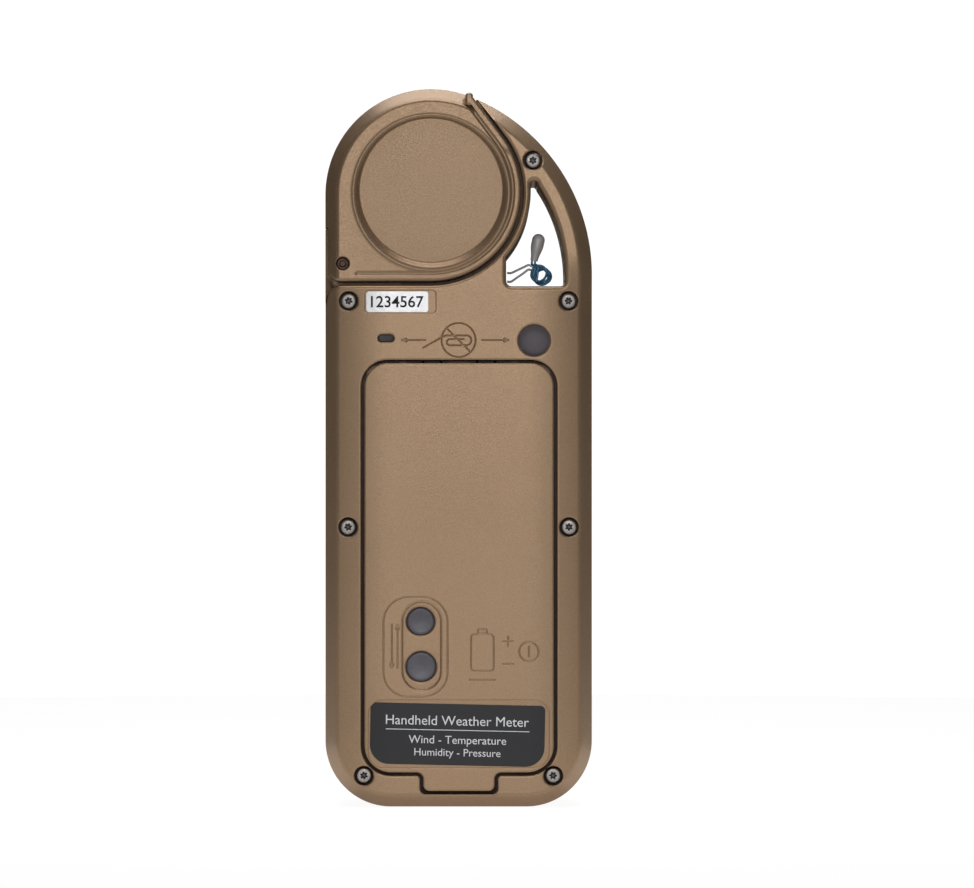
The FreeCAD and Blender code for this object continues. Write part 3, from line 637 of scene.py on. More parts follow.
# The slots' own finishes on the CAD nodes that stay in view
CAD_LOOKS = {
    "seal_rubber": ["case_gasket", "door_gasket"],
    "pin_steel": ["impeller_axle"],
    "jewel": ["impeller_bearings"],
    "magnet": ["impeller_magnet", "pressure_sensor"],
    "chip": ["impeller_pickup", "humidity_sensor", "microcontroller"],
    "board": ["sensor_board", "infrared_board", "main_board"],
    "spring_steel": ["battery_positive_contact", "dome_switches"],
    "frame_plastic": ["lcd_frame"],
    "mat_rubber": ["keypad_mat"],
}
for look, node_names in CAD_LOOKS.items():
    for node_name in node_names:
        mesh = frame["nodes"][node_name].data
        mesh.materials.clear()
        mesh.materials.append(MAT[look])
        mesh.shade_smooth()
        mesh.set_sharp_from_angle(angle=radians(30))

# Outlines of the object

COVER_CENTRE = np.array([HALF_WIDTH - COVER_R, LENGTH - COVER_R])
PEAK_Z = COVER_CENTRE[1] + sqrt(COVER_R ** 2 - (PEAK_X - COVER_CENTRE[0]) ** 2)
SLOPE = np.array([0.7986, 0.6018])
CRADLE_X, CRADLE_R = 4.95, 16.5
SHOULDER_Z, SHOULDER_R = 92.1, 3.0
COVER_EDGE, COVER_CORNER = 15.9, 3.15
TAB_LEFT, TAB_RIGHT, TAB_TOP, TAB_LEVEL = -2.55, -1.2, 126.15, 13.65

# A corner well outside the silhouette
OUT_X, OUT_Z = HALF_WIDTH + 5, LENGTH + 5

SILHOUETTE = trace([
    (FOOT_R - HALF_WIDTH, 0), (HALF_WIDTH - FOOT_R, 0, FOOT_R), (HALF_WIDTH, FOOT_R),
    (HALF_WIDTH, COVER_CENTRE[1], COVER_R), (PEAK_X, PEAK_Z, ARCH_R), (-HALF_WIDTH, ARCH_Z),
    (-HALF_WIDTH, FOOT_R, FOOT_R),
])


def cover_space():
    """What the case leaves free for the cover, outside the tongue."""
    leave = np.array([CRADLE_X, SHOULDER_Z + CRADLE_R]) + CRADLE_R * SLOPE * (-1, 1)
    away = leave + 12 * SLOPE[::-1]
    return trace([
        (OUT_X, SHOULDER_Z - SHOULDER_R),
        (OUT_X, OUT_Z),
        (away[0], OUT_Z),
        tuple(away),
        (*leave, CRADLE_R),
        (CRADLE_X, SHOULDER_Z),
        (HALF_WIDTH - SHOULDER_R, SHOULDER_Z, -SHOULDER_R),
        (HALF_WIDTH, SHOULDER_Z - SHOULDER_R),
    ])


RING_R, LUG_R, WALL_R, WALL_CLEAR = 16.3, 6.85, 17.2, 7.0


def rim_space():
    """What the tongue leaves free for the outer wall of the cover."""
    lug_top = PIVOT[1] + sqrt(LUG_R ** 2 - (HALF_WIDTH - PIVOT[0]) ** 2)
    meet = (PIVOT[0] - 0.51, PIVOT[1] + sqrt(LUG_R ** 2 - 0.51 ** 2))
    leave_x = PEAK_X + 0.1
    leave_z = FAN[1] + sqrt(RING_R ** 2 - (leave_x - FAN[0]) ** 2)
    return trace([
        (HALF_WIDTH, lug_top), (OUT_X, lug_top), (OUT_X, OUT_Z), (leave_x, OUT_Z),
        (leave_x, leave_z, -RING_R), (*meet, -LUG_R),
    ])


def cover_part():
    """The cover's own edge towards the case, closed outside the silhouette."""
    leave = FAN + COVER_EDGE * SLOPE * (-1, 1)
    tab_z = leave[1] + (TAB_LEFT - leave[0]) * SLOPE[0] / SLOPE[1]
    return trace([
        (TAB_LEFT, OUT_Z), (TAB_LEFT, tab_z), (*leave, COVER_EDGE), (FAN[0], FAN[1] - COVER_EDGE),
        (PIVOT[0], PIVOT[1] - COVER_CORNER, COVER_CORNER), (HALF_WIDTH, PIVOT[1]), (OUT_X, PIVOT[1]),
        (OUT_X, OUT_Z),
    ])


def cover_hollow():
    """The space between the cheeks, cleared round the lug."""
    clear_top = PIVOT[1] + sqrt(WALL_CLEAR ** 2 - (HALF_WIDTH - PIVOT[0]) ** 2)
    meet = (PIVOT[0] + 0.8, PIVOT[1] + sqrt(WALL_CLEAR ** 2 - 0.8 ** 2))
    end_x = PEAK_X + 0.6
    end_z = COVER_CENTRE[1] + sqrt(WALL_R ** 2 - (end_x - COVER_CENTRE[0]) ** 2)
    return trace([
        (OUT_X, 85), (OUT_X, clear_top), (HALF_WIDTH, clear_top, WALL_CLEAR), (*meet, WALL_R),
        (end_x, end_z), (end_x, OUT_Z), (-14, OUT_Z), (-14, 85),
    ])


WINDOW_FOOT, WINDOW_SIDE, WINDOW_CURVE, WINDOW_OUTER = 92.0, -8.4, 17.6, 29.1


def air_window():
    side_head = FAN[1] - sqrt(WINDOW_CURVE ** 2 - (FAN[0] - WINDOW_SIDE) ** 2)
    tip = FAN[1] + 1.25
    arch_x = ARCH_R - HALF_WIDTH
    tip_left = arch_x - sqrt(WINDOW_OUTER ** 2 - (tip - ARCH_Z) ** 2)
    tip_right = FAN[0] - sqrt(WINDOW_CURVE ** 2 - 1.25 ** 2)
    side = arch_x - WINDOW_OUTER
    return trace([
        (WINDOW_SIDE - 1.0, WINDOW_FOOT, 1.0), (WINDOW_SIDE, WINDOW_FOOT + 1.0),
        (WINDOW_SIDE, side_head, -WINDOW_CURVE), (tip_right, tip, (tip_right - tip_left) / 2 + 0.001),
        (tip_left, tip, WINDOW_OUTER), (side, ARCH_Z), (side, WINDOW_FOOT + 0.9, 0.9),
        (side + 0.9, WINDOW_FOOT),
    ])


def door_line(play):
    """The door's edge, grown by play: the gap's middle line when play is 0."""
    left, right, head, foot = -17.1 - play, 16.9 + play, 78.7 + play, 5.95 - play
    latch, latch_left, latch_right = 2.68 - play, -6.65 - play, 6.5 + play
    big, small, turn = 5.0 + play, 4.35 + play, 1.1
    ease = 0.9 - play
    return trace([
        (left + big, foot), (latch_left - ease, foot, -ease), (latch_left, foot - ease),
        (latch_left, latch + turn, turn), (latch_left + turn, latch), (latch_right - turn, latch, turn),
        (latch_right, latch + turn), (latch_right, foot - ease, -ease), (latch_right + ease, foot),
        (right - big, foot, big), (right, foot + big), (right, head - small, small),
        (right - small, head), (left + small, head, small), (left, head - small),
        (left, foot + big, big),
    ])


CAVITY = trace([
    (-12.0, 3.6), (12.0, 3.6, 8.0), (20.0, FOOT_R), (20.0, 84.5, 2.0), (18.0, 86.5), (-18.0, 86.5, 2.0),
    (-20.0, 84.5), (-20.0, FOOT_R, 8.0),
])
EVERYWHERE = box_line(-40, -10, 40, 140)
COVER_SPACE, RIM_SPACE, COVER_PART = cover_space(), rim_space(), cover_part()
COVER_HOLLOW, AIR_WINDOW = cover_hollow(), air_window()
BORE = ring(FAN, 13.0)
SCREWS = ((-13.13, 114.2), (19.4, 89.4), (-19.4, 89.4), (19.5, 49.5), (-19.5, 49.5),
          (16.7, 5.64), (-16.7, 5.64))
SCREW_WELL, SCREW_HEAD = 1.725, 1.375

# Shared face shapes

GAP_LIP, EDGE_LIP, WINDOW_LIP, WELL_LIP, FINE_LIP, BORE_LIP = 0.28, 0.5, 0.75, 0.26, 0.18, 0.3
ENGRAVED, ENGRAVED_DEPTH = 0.36, 0.17
HOOKS = (-4.85, 4.7)
MEMBRANE = (-13.36, 82.4)
DIODES = ((6.65, 24.9), (6.65, 32.9))


def holes(outlines):
    return [([outline], None) for outline in outlines]


def near(points, outlines, reach):
    return np.any([distance(points, outline) < reach for outline in outlines], axis=0)


def slab(outline, top, back, radius, flip=1):
    """A flat plate with a rounded edge."""
    return relief([([outline], lambda points: top - edge_lip(points, outline, radius))],
                  [([outline], back)], lip_rings(outline, radius), flip)


def case_face(lips=(), strokes=(), depth=0.0, line_depth=ENGRAVED_DEPTH):
    """Height of the case's face, sunk by depth, with its lips and engraved strokes."""
    def height(points):
        drop = facet(distance(points, SILHOUETTE)) + crown(points) + depth
        for outline, radius in lips:
            drop += edge_lip(points, outline, radius)
        return FACE - drop - groove(points, strokes, ENGRAVED, line_depth)
    return height


def face_hints(lips, strokes):
    """Rings that carry the rim, the crown, the lips and the strokes."""
    hints = [offset(SILHOUETTE, place) for place in FACET_RINGS]
    hints += [(stroke, False) for stroke in crown_lines(1.0, 96.0)]
    for outline, radius in lips:
        hints += lip_rings(outline, radius, -1)
    return hints + groove_rings(strokes, ENGRAVED)


def arrow(tail, tip, head=0.75):
    """Strokes of a thin arrow."""
    tail, tip = np.array(tail, float), np.array(tip, float)
    back = (tail - tip) / np.hypot(*(tail - tip))
    side = np.array([-back[1], back[0]])
    barb = tip + head * (back + side * np.array([[0.4], [-0.4]]))
    return [(np.array([start, tip]), False) for start in (tail, *barb)]


def bent(*corners):
    """An open stroke.  A corner is (x, z), or (x, z, radius) where an arc leaves it."""
    outline = trace(corners, 0.3)
    last = np.hypot(*(outline - corners[-1][:2]).T).argmin()
    return outline[:last + 1], False


def sign():
    """A ring with a slash over a bent pin, and arrows to the port and to the membrane."""
    slash = 3.0 * sqrt(0.5)
    strokes = [
        (ring((0.0, 82.5), 3.0, 0.4), True),
        (np.array([(slash, 82.5 + slash), (-slash, 82.5 - slash)]), False),
        bent((6.2, 81.15), (2.95, 83.0), (2.2, 83.3), (-1.4, 83.3, 0.86), (-1.4, 81.58), (1.5, 81.58, 0.55),
             (1.5, 82.68), (-0.9, 82.68)),
    ]
    return strokes + arrow((5.9, 82.5), (9.95, 82.5)) + arrow((-4.2, 82.5), (-8.8, 82.5))


def tongue(points):
    """Height of the sunk part under the cover's cheeks, whose edge stays below the cover's rim."""
    drop = edge_lip(points, BORE, BORE_LIP) + edge_lip(points, RIM_SPACE, BORE_LIP)
    return np.minimum(TONGUE, COVER_FACE - 0.4 - facet(distance(points, SILHOUETTE))) - drop


def bosses(level):
    """The screws' bosses below the cover's bay."""
    return [([ring(place, 2.6, 0.5)], level) for place in SCREWS[3:]]


def shell(name, lips, strokes, tops, bottoms, flip, shade=None):
    """Half of the case: its face, the tongue under the cover, and what goes through both."""
    level = flip * SEAM
    shared = [([SILHOUETTE], case_face(lips, strokes)), ([SILHOUETTE, COVER_SPACE], tongue)]
    tops = shared + holes((RIM_SPACE, BORE, AIR_WINDOW)) + tops
    hints = face_hints(lips, strokes) + lip_rings(BORE, BORE_LIP, -1) + lip_rings(RIM_SPACE, BORE_LIP, -1)
    solid = relief(tops, [([SILHOUETTE], level)] + bottoms, hints, flip,
                   seam=(SILHOUETTE, level + 0.4, 0.28))
    return build(name + "_shell", solid, "case_plastic", [name], shade=shade)


def rear_case():
    wells = [ring(place, SCREW_WELL, 0.3) for place in SCREWS]
    membrane = ring(MEMBRANE, 2.85, 0.4)
    slot = box_line(11.4, 82.1, 14.2, 83.5, 0.69)
    serial = box_line(4.05, 87.3, 16.5, 91.2, 0.6)
    door = door_line(GAP)
    sinks = [*wells, slot, membrane]
    lips = [(COVER_SPACE, EDGE_LIP), (AIR_WINDOW, WINDOW_LIP), (door, GAP_LIP), (membrane, WELL_LIP)]
    lips += [(slot, WELL_LIP), (serial, FINE_LIP)] + [(well, WELL_LIP) for well in wells]
    latch = box_line(-6.65, 1.6, 6.5, 3.6, 0.3)
    tray = box_line(-14.0, 11.8, 1.7, 71.2, 0.8)
    tops = [([door], REBATE), ([door, latch], 11.2), ([tray], -3.5)]
    tops += [([door, box_line(x - 1.8, 75.5, x + 1.8, 80.2)], None) for x in HOOKS]
    tops += holes([ring(place, 1.9, 0.4) for place in DIODES]) + [([well], 11.2) for well in wells]
    tops += [([membrane], 13.0), ([slot], 12.7), ([serial], case_face(depth=0.2))]
    bottoms = [([CAVITY], DECK), ([box_line(-19, 80, 19, 86, 1.0)], REBATE), *bosses(SEAM),
               ([box_line(-15.2, 10.6, 2.9, 73.0, 1.0)], -4.7)]

    # Painted shade: the colour darkens with depth below the face in the gaps round the door and the cover's
    # bay, and in the screw wells, the port slot and the membrane well.
    def shade(points):
        flat = points[:, [0, 2]]
        sunk = np.clip((case_face()(flat) - 0.4 - points[:, 1]) / 1.1, 0, 1)
        dark = near(flat, [COVER_SPACE, door], 1.3) | near(flat, sinks, 0.05)
        for sink in sinks:
            dark |= inside(flat, sink)
        return sunk * dark * ~near(flat, [SILHOUETTE], 0.3)
    return shell("rear_case", lips, sign(), tops, bottoms, 1, shade)


KEYS = ["power_key", "down_key", "select_key", "up_key", "left_key", "right_key", "exit_key",
        "capture_key"]
KEY_PLAY, KEY_SHORT = 0.2, 0.05
BEZEL_LEVEL, BEZEL_BACK = -low("front_bezel")[1], -high("front_bezel")[1]


def node_outline(node, grow, corner):
    (left, _, foot), (right, _, head) = low(node), high(node)
    return box_line(left - grow, foot - grow, right + grow, head + grow, corner + grow)


def key_outline(node, grow):
    """A pill for the power, exit and capture keys, a disc to select, soft squares for the arrows."""
    size = high(node) - low(node)
    corner = min(size[0], size[2]) / 2 - 0.02
    if node in ("down_key", "up_key", "left_key", "right_key"):
        corner = 1.6
    return node_outline(node, grow, corner)


def front_case():
    bezel = node_outline("front_bezel", 0.05, 6.0)
    lips = [(COVER_SPACE, EDGE_LIP), (AIR_WINDOW, WINDOW_LIP), (bezel, 0.3)]
    keys = [key_outline(key, KEY_PLAY) for key in KEYS]
    tops = [([bezel], BEZEL_BACK)] + holes([box_line(-14, 50, 14, 82, 1.5), *keys])
    return shell("front_case", lips, (), tops, [([CAVITY], 11.4), *bosses(-SEAM)], -1)


CHEEK, COVER_SINK = 10.3, 0.12
CHEEK_EDGE = FACET_WIDTH - (COVER_FACE - COVER_SINK - CHEEK) / FACET_SLOPE + 0.06
RECESS_DEPTH, RECESS_FLOOR, RECESS_RIM = 0.85, 12.6, 13.45
# The recess's floor is this much above the fan's axis, and its rim as much below it
RECESS_LIFT = np.array((0, 0.22))
TRACK_INSET, TRACK_WIDTH, TRACK_DEPTH = 1.45, 0.9, 0.22
STRIP_WIDTH, STRIP_FALL, STRIP_FOOT = 1.0, 0.35, 116
TAB_LIP = 0.4


def cover_track():
    """The line of the thin groove beside the cover's edge, from the tab to the pivot corner."""
    drawn = offset(COVER_PART, TRACK_INSET)
    keep = (drawn[:, 1] < 125.4) & (drawn[:, 0] < PIVOT[0] - 1.4) & inside(drawn, SILHOUETTE)
    first = np.nonzero(keep & (distance(drawn, SILHOUETTE) > 0.45))[0]
    return drawn[first[0]:first[-1] + 1]


def strip(points):
    """Height of the raised edge that runs on over the slanted rim and into the tab."""
    away = distance(points, COVER_PART)
    fall = 5.0 * np.clip((away - STRIP_WIDTH) / STRIP_FALL, 0, 1)
    return np.where(points[:, 1] > STRIP_FOOT, TAB_LEVEL - lip(away, TAB_LIP) - fall, 0)


def flip_cover():
    track = [(cover_track(), False)]
    hole = ring(PIVOT, 1.175, 0.25)
    tab = box_line(TAB_LEFT, 123.9, TAB_RIGHT, TAB_TOP, 0.6)

    def face(points):
        up = np.maximum(np.hypot(*(points - FAN - RECESS_LIFT).T) - RECESS_FLOOR, 0)
        away = np.hypot(*(points - FAN + RECESS_LIFT).T)
        share = up / np.maximum(up + np.maximum(RECESS_RIM - away, 0), 1e-6)
        drop = RECESS_DEPTH * (1 - share * share * (3 - 2 * share))
        drop -= 0.10 * np.exp(-((away - RECESS_RIM - 0.3) / 0.25) ** 2)
        drop += facet(distance(points, SILHOUETTE)) + COVER_SINK
        drop += edge_lip(points, COVER_PART, EDGE_LIP) + edge_lip(points, hole, FINE_LIP)
        drop += groove(points, track, TRACK_WIDTH, TRACK_DEPTH)
        return np.maximum(COVER_FACE - drop, strip(points))

    def tab_face(points):
        return TAB_LEVEL - edge_lip(points, tab, TAB_LIP)

    def blended(points):
        return np.maximum(face(points), tab_face(points))
    slant = RECESS_RIM - RECESS_FLOOR
    hints = [ring(FAN + RECESS_LIFT * (1 - 2 * share), RECESS_FLOOR + slant * share)
             for share in np.linspace(0, 1, 9)]
    hints += [ring(FAN - RECESS_LIFT, RECESS_RIM + step)
              for step in (0.08, 0.18, 0.3, 0.42, 0.55, 0.75, 1.0)]
    hints += [ring(FAN + RECESS_LIFT, RECESS_FLOOR - 0.1)]
    hints += [offset(SILHOUETTE, place) for place in FACET_RINGS]
    hints += lip_rings(COVER_PART, EDGE_LIP) + lip_rings(hole, FINE_LIP, -1)
    hints += groove_rings(track, TRACK_WIDTH) + lip_rings(tab, TAB_LIP) + [offset(SILHOUETTE, CHEEK_EDGE)]
    hints += [offset(COVER_PART, STRIP_WIDTH + step) for step in (0, 0.08, 0.16, STRIP_FALL)]
    part = [SILHOUETTE, COVER_PART]
    tops = [([tab], tab_face), (part, face), ([*part, tab], blended), ([hole], None)]
    solid = relief(tops, [([tab], 0.0), (part, 0.0), ([COVER_HOLLOW], CHEEK)], hints, opened=0.0)

    # Painted shade: the colour darkens with depth on the cover's edge walls and in the pin hole, and a little
    # over the recess floor.
    def shade(points):
        flat = points[:, [0, 2]]
        sunk = np.clip((COVER_FACE - 0.45 - np.abs(points[:, 1])) / 1.2, 0, 1)
        dark = near(flat, [COVER_PART], 0.05) & inside(flat, offset(SILHOUETTE, 0.3))
        floor = np.hypot(*(flat - FAN - RECESS_LIFT).T) < RECESS_FLOOR + 0.05
        return np.maximum(sunk * (dark | near(flat, [hole], 0.05)), 0.1 * floor)
    return build("flip_cover_shell", solid, "cover_plastic", ["flip_cover"], body="cover", shade=shade)


DOOR_BACK = 12.4
LENSES = (((6.7, 32.9), 2.5), ((6.6, 24.9), 2.7))


def door_marks():
    """The engraved frame round the optics, two arrows, and a cell with its two poles."""
    def dash(*ends):
        return np.array(ends), False
    strokes = [(box_line(1.93, 19.6, 13.23, 37.2, 4.4), True)]
    strokes += arrow((11.75, 32.3), (11.75, 24.7)) + arrow((10.75, 24.7), (10.75, 32.3))
    return strokes + [
        (box_line(-6.2, 24.2, -2.2, 30.6, 0.6), True), (box_line(-5.0, 30.75, -3.4, 31.5, 0.2), True),
        dash((-9.6, 29.4), (-7.9, 29.4)), dash((-8.75, 28.55), (-8.75, 30.25)),
        dash((-9.6, 25.4), (-7.9, 25.4)), (ring((-12.4, 27.6), 1.7, 0.3), True),
        dash((-12.4, 26.7), (-12.4, 28.5)), dash((-6.4, 22.6), (-2.0, 22.6)),
    ]


def battery_door():
    edge = door_line(-GAP)
    label = box_line(-15.95, 7.1, 15.9, 19.0, 2.6)
    optic = box_line(3.25, 20.85, 9.75, 36.15, 3.24)
    lenses = [ring(place, radius, 0.3) for place, radius in LENSES]
    strokes = door_marks()
    inner = [(label, FINE_LIP), (optic, 0.45)]
    tops = [([edge], case_face([(edge, GAP_LIP), *inner], strokes, line_depth=0.13))]
    tops += [([label], case_face(depth=0.2))]
    tops += [([optic], case_face([(lens, 0.3) for lens in lenses], depth=0.62))] + holes(lenses)
    hints = face_hints([], strokes) + lip_rings(edge, GAP_LIP)
    for outline, radius in inner + [(lens, 0.3) for lens in lenses]:
        hints += lip_rings(outline, radius, -1)
    solid = relief(tops, [([edge], DOOR_BACK)], hints)
    for x in HOOKS:
        hook = box_line(x - 1.4, 76.9, x + 1.4, 78.2, 0.2)
        toe = box_line(x - 1.4, 76.9, x + 1.4, 79.6, 0.3)
        solid += relief([([toe], 11.9), ([hook], DOOR_BACK)], [([toe], 11.1)])

    # Painted shade: the colour darkens with depth down the door's edge and round the lenses, and fully on the
    # hooks and underside below the door's back, seen through the gaps.
    def shade(points):
        flat = points[:, [0, 2]]
        sunk = np.clip((case_face()(flat) - 0.4 - points[:, 1]) / 0.9, 0, 1)
        return np.maximum(sunk * near(flat, [edge, *lenses], 0.05), points[:, 1] < DOOR_BACK - 0.05)
    return build("battery_door_shell", solid, "door_plastic", ["battery_door"], body="door", shade=shade)


# Screws, pin, sensors and labels


def case_screws():
    """Seven pan heads with a six-lobed well and a pin in it, on threaded shafts."""
    head, post = ring((0, 0), SCREW_HEAD, 0.12), ring((0, 0), 0.2, 0.06)
    angles = np.arange(72) * pi / 36
    well = (0.56 + 0.12 * np.cos(6 * angles)) * np.stack([np.cos(angles), np.sin(angles)])
    well = well.T

    def dome(points):
        away = np.hypot(*points.T)
        drop = 0.10 * (away / SCREW_HEAD) ** 2 + edge_lip(points, head, 0.3) + edge_lip(points, well, 0.06)
        return 12.9 - drop
    hints = lip_rings(head, 0.3) + [ring((0, 0), 0.9, 0.2), offset(well, -0.03), offset(well, -0.07)]
    cap = relief([([head], dome), ([well], 12.1), ([post], 12.55)], [([head], 11.2)], hints)
    heights = np.arange(-8.6, 11.15, 0.2)
    threads = 0.82 + 0.13 * np.abs(np.mod(heights / 0.8, 1) * 2 - 1)
    screw = cap + tube([(0, y, 0) for y in heights], threads, 12)
    whole = Solid([], [])
    for number, (x, z) in enumerate(SCREWS):
        turn = 0.5 + 1.3 * number
        whole += screw.moved((x, 0, z), [(cos(turn), 0, sin(turn)), (0, 1, 0), (-sin(turn), 0, cos(turn))])

    # Painted shade: the colour darkens below the head's top, most in the six-lobed well.
    def shade(points):
        away = np.min([np.hypot(*(points[:, [0, 2]] - place).T) for place in SCREWS], axis=0)
        return np.clip((12.78 - points[:, 1]) / 0.3, 0, 1) * np.where(away < 0.9, 0.95, 0.8)
    return build("case_screw_set", whole, "screw_steel", ["case_screws"], shade=shade)


def cover_pivot_pin():
    profile = [(0.001, -12.0), (0.95, -12.0), (1.1, -11.85), (1.1, 11.85), (0.95, 12.0), (0.575, 12.0),
               (0.575, 12.68), (0.45, 12.8), (0.001, 12.8)]
    build("cover_pivot_pin_turned", lathe(profile, PIVOT, 40), "pin_steel", ["cover_pivot_pin"])


def disc(centre, radius, back, top, edge, dish=0.0, count=48):
    """A round plate whose rim is rounded and whose face is dished or domed."""
    profile = [(0.001, back), (radius, back)]
    profile += [(radius - edge + edge * cos(turn), top - edge + edge * sin(turn))
                for turn in np.radians([0, 22, 45, 68, 90])]
    rings = np.linspace(radius - edge - 0.1, 0.001, 6)
    profile += [(r, top - dish * (1 - (r / (radius - edge)) ** 2)) for r in rings]
    return lathe(profile, centre, count)


def sensor_plugs():
    build("humidity_membrane_disc", disc(MEMBRANE, 2.8, 13.0, 13.12, 0.1, -0.6), "membrane",
          ["humidity_membrane"])
    outline = box_line(11.42, 82.12, 14.18, 83.48, 0.67)
    build("pressure_port_plug_cap", slab(outline, 13.5, 12.7, 0.25), "plug", ["pressure_port_plug"])
    lenses = [disc(place, radius, DOOR_BACK, 13.3, 0.5, 0.12) for place, radius in LENSES]
    build("infrared_window_pair", lenses[0] + lenses[1], "infrared_filter", ["infrared_windows"], body="door")


def sheet_on_face(outline, thickness, depth=0.2):
    """A thin label that follows the case's face."""
    face = case_face([(outline, 0.04)], depth=depth - thickness)
    hints = [offset(outline, place) for place in (0.04, 0.12)] + [(s, False) for s in crown_lines(1, 96)]
    return relief([([outline], face)], [([outline], case_face(depth=depth))], hints)


def lettering(name, text, centre, width, level, look, body, slot, tilt=0.0, weight=0.0):
    """Flat letters, width millimetres wide, that read from behind."""
    curve = bpy.data.curves.new(name + "_curve", "FONT")
    curve.body = text
    curve.align_x = "CENTER"
    curve.align_y = "CENTER"
    curve.resolution_u = 4
    curve.extrude = 0.008
    curve.offset = weight
    holder = placed(name + "_curve", curve)
    bpy.context.view_layer.update()
    mesh = bpy.data.meshes.new_from_object(holder)
    bpy.data.objects.remove(holder)
    raw = np.array([v.co for v in mesh.vertices])
    flat = (raw[:, :2] - (raw[:, :2].min(0) + raw[:, :2].max(0)) / 2) * width / np.ptp(raw[:, 0])
    x, z = np.array([(-cos(tilt), sin(tilt)), (sin(tilt), cos(tilt))]) @ flat.T
    height = level + (raw[:, 2] / 0.008 + 1) * 0.015
    points = np.stack([centre[0] + x, height, centre[1] + z], 1)
    solid = Solid(points, [face.vertices for face in mesh.polygons])
    return build(name, solid, look, body=body, slot=slot)


def labels():
    outline = box_line(5.3, 87.4, 16.3, 91.1, 0.55)
    build("serial_label_sheet", sheet_on_face(outline, 0.13), "white_label", ["serial_label"])
    lettering("serial_number", "1234567", (10.8, 89.25), 9.3, FACE - 0.09, "black_ink", "case", "dark_label",
              weight=0.012)
    left, foot, right, head, small, big = -15.2, 7.5, 15.6, 18.3, 0.9, 3.4
    outline = trace([
        (left + big, foot), (right - big, foot, big), (right, foot + big), (right, head - small, small),
        (right - small, head), (left + small, head, small), (left, head - small), (left, foot + big, big),
    ])
    tilt = radians(1.2)
    centre = np.array([0.2, 12.9])
    spin = np.array([[cos(tilt), sin(tilt)], [-sin(tilt), cos(tilt)]])
    outline = (outline - centre) @ spin + centre
    build("door_label_sheet", sheet_on_face(outline, 0.14), "dark_label", ["door_label"], body="door")
    level = FACE - 0.05
    lines = (("Handheld Weather Meter", 15.35, 25.2), ("Wind - Temperature", 11.75, 17.2),
             ("Humidity - Pressure", 9.55, 15.2))
    for number, (text, z, width) in enumerate(lines):
        lettering(f"door_label_line_{number + 1}", text, (0.2, z), width, level, "white_ink", "door",
                  "white_label", tilt=-tilt)
    stroke = ribbon([(12.8, 13.95), (-12.5, 13.42)], 0.13)
    solid = relief([([stroke], level + 0.03)], [([stroke], level)])
    build("door_label_rule", solid, "white_ink", body="door", slot="white_label")


def ribbon(stroke, width):
    """The closed outline of an open stroke of some width."""
    stroke = np.array(stroke, float)
    return np.concatenate([offset(stroke, -width / 2, False), offset(stroke, width / 2, False)[::-1]])


# Air temperature sensor


def smooth_route(points, per=10):
    """A round curve through the points (Catmull-Rom)."""
    points = np.array(points, float)
    padded = np.concatenate([2 * points[:1] - points[1:2], points, 2 * points[-1:] - points[-2:-1]])
    route = []
    for i in range(len(points) - 1):
        p, q, r, s = padded[i:i + 4]
        for share in np.arange(per) / per:
            a, b = share * share, share ** 3
            route.append(0.5 * (2 * q + (r - p) * share + (2 * p - 5 * q + 4 * r - s) * a
                                + (3 * q - p - 3 * r + s) * b))
    route.append(points[-1])
    return np.array(route)


COIL = np.array([-14.66, 94.32])
LEAD_R = 0.2


def thermistor():
    """A drop-shaped bead on two stiff leads that wind into a coil before they reach it."""
    leads = Solid([], [])
    for start, finish, depth in ((94.75, 96.15, 0.15), (93.2, 95.35, 0.5)):
        route = smooth_route([
            (WINDOW_SIDE - 0.2, depth, start),
            (WINDOW_SIDE - 0.9, depth, start - 0.02),
            (-10.4, depth, (start * 2 + finish) / 3),
            (-11.6, depth, (start + finish * 2) / 3 + 0.1),
            (-12.5, depth, finish),
            (-13.38, depth, finish - 0.4),
        ])
        leads += tube(route, LEAD_R, 10)
    build("thermistor_lead_pair", leads, "lead_insulation", ["thermistor_leads"])
    coil = Solid([], [])
    for strand in (0, 1):
        route = []
        for share in np.linspace(0, 1, 150):
            angle = 1.9 + strand * 0.5 + share * 2 * pi * 3.25
            reach = 1.36 + 0.22 * sin(1.3 * angle + strand * 2.1)
            depth = -0.35 + 1.25 * share + 0.12 * sin(3 * angle + strand)
            sway = 0.3 * sin(5 * share + 2 * strand)
            route.append((COIL[0] - reach * cos(angle) - sway, depth,
                          COIL[1] + reach * sin(angle) - 0.6 * sway))
        aside = 0.55 * strand
        neck = [(-13.6 - aside, 0.7, 95.75), (-13.05 - aside, 0.5, 96.35), (-13.15 - aside, 0.4, 97.2)]
        route = np.concatenate([route, smooth_route([route[-1]] + neck)[1:]])
        coil += tube(route, LEAD_R, 10)
    build("thermistor_coil", coil, "coil_insulation", slot="lead_insulation")
    neck, crest = np.array([-13.42, 0.35, 96.9]), np.array([-14.45, 0.35, 101.7])
    shares = np.concatenate([np.linspace(0, 0.9, 22), 0.9 + 0.1 * np.sin(np.linspace(0.1, 1, 10) * pi / 2)])
    radii = []
    for share in shares:
        grow = 0.66 + 0.48 * (0.5 - 0.5 * cos(pi * min(share / 0.62, 1)))
        radii.append(grow * sqrt(max(1 - max((share - 0.78) / 0.2215, 0) ** 2, 0.0005)))
    route = [neck + (crest - neck) * share for share in shares]
    bead = tube(route, radii, 28, squash=0.85)
    build("thermistor_bead_drop", bead, "bead_epoxy", ["thermistor_bead"], sharp=60)
    profile = [(0.001, 0), (1.2, 0), (1.2, 1.85), (1.1, 1.95), (0.001, 1.95)]
    turned = lathe(profile, (0, 0), 32)
    spin = [(0, -1, 0), (1, 0, 0), (0, 0, 1)]
    grommet = turned.moved((-6.4, 0.3, 93.5), spin)
    build("thermistor_grommet_turned", grommet, "key_rubber", ["thermistor_grommet"], slot="seal_rubber")

# Impeller


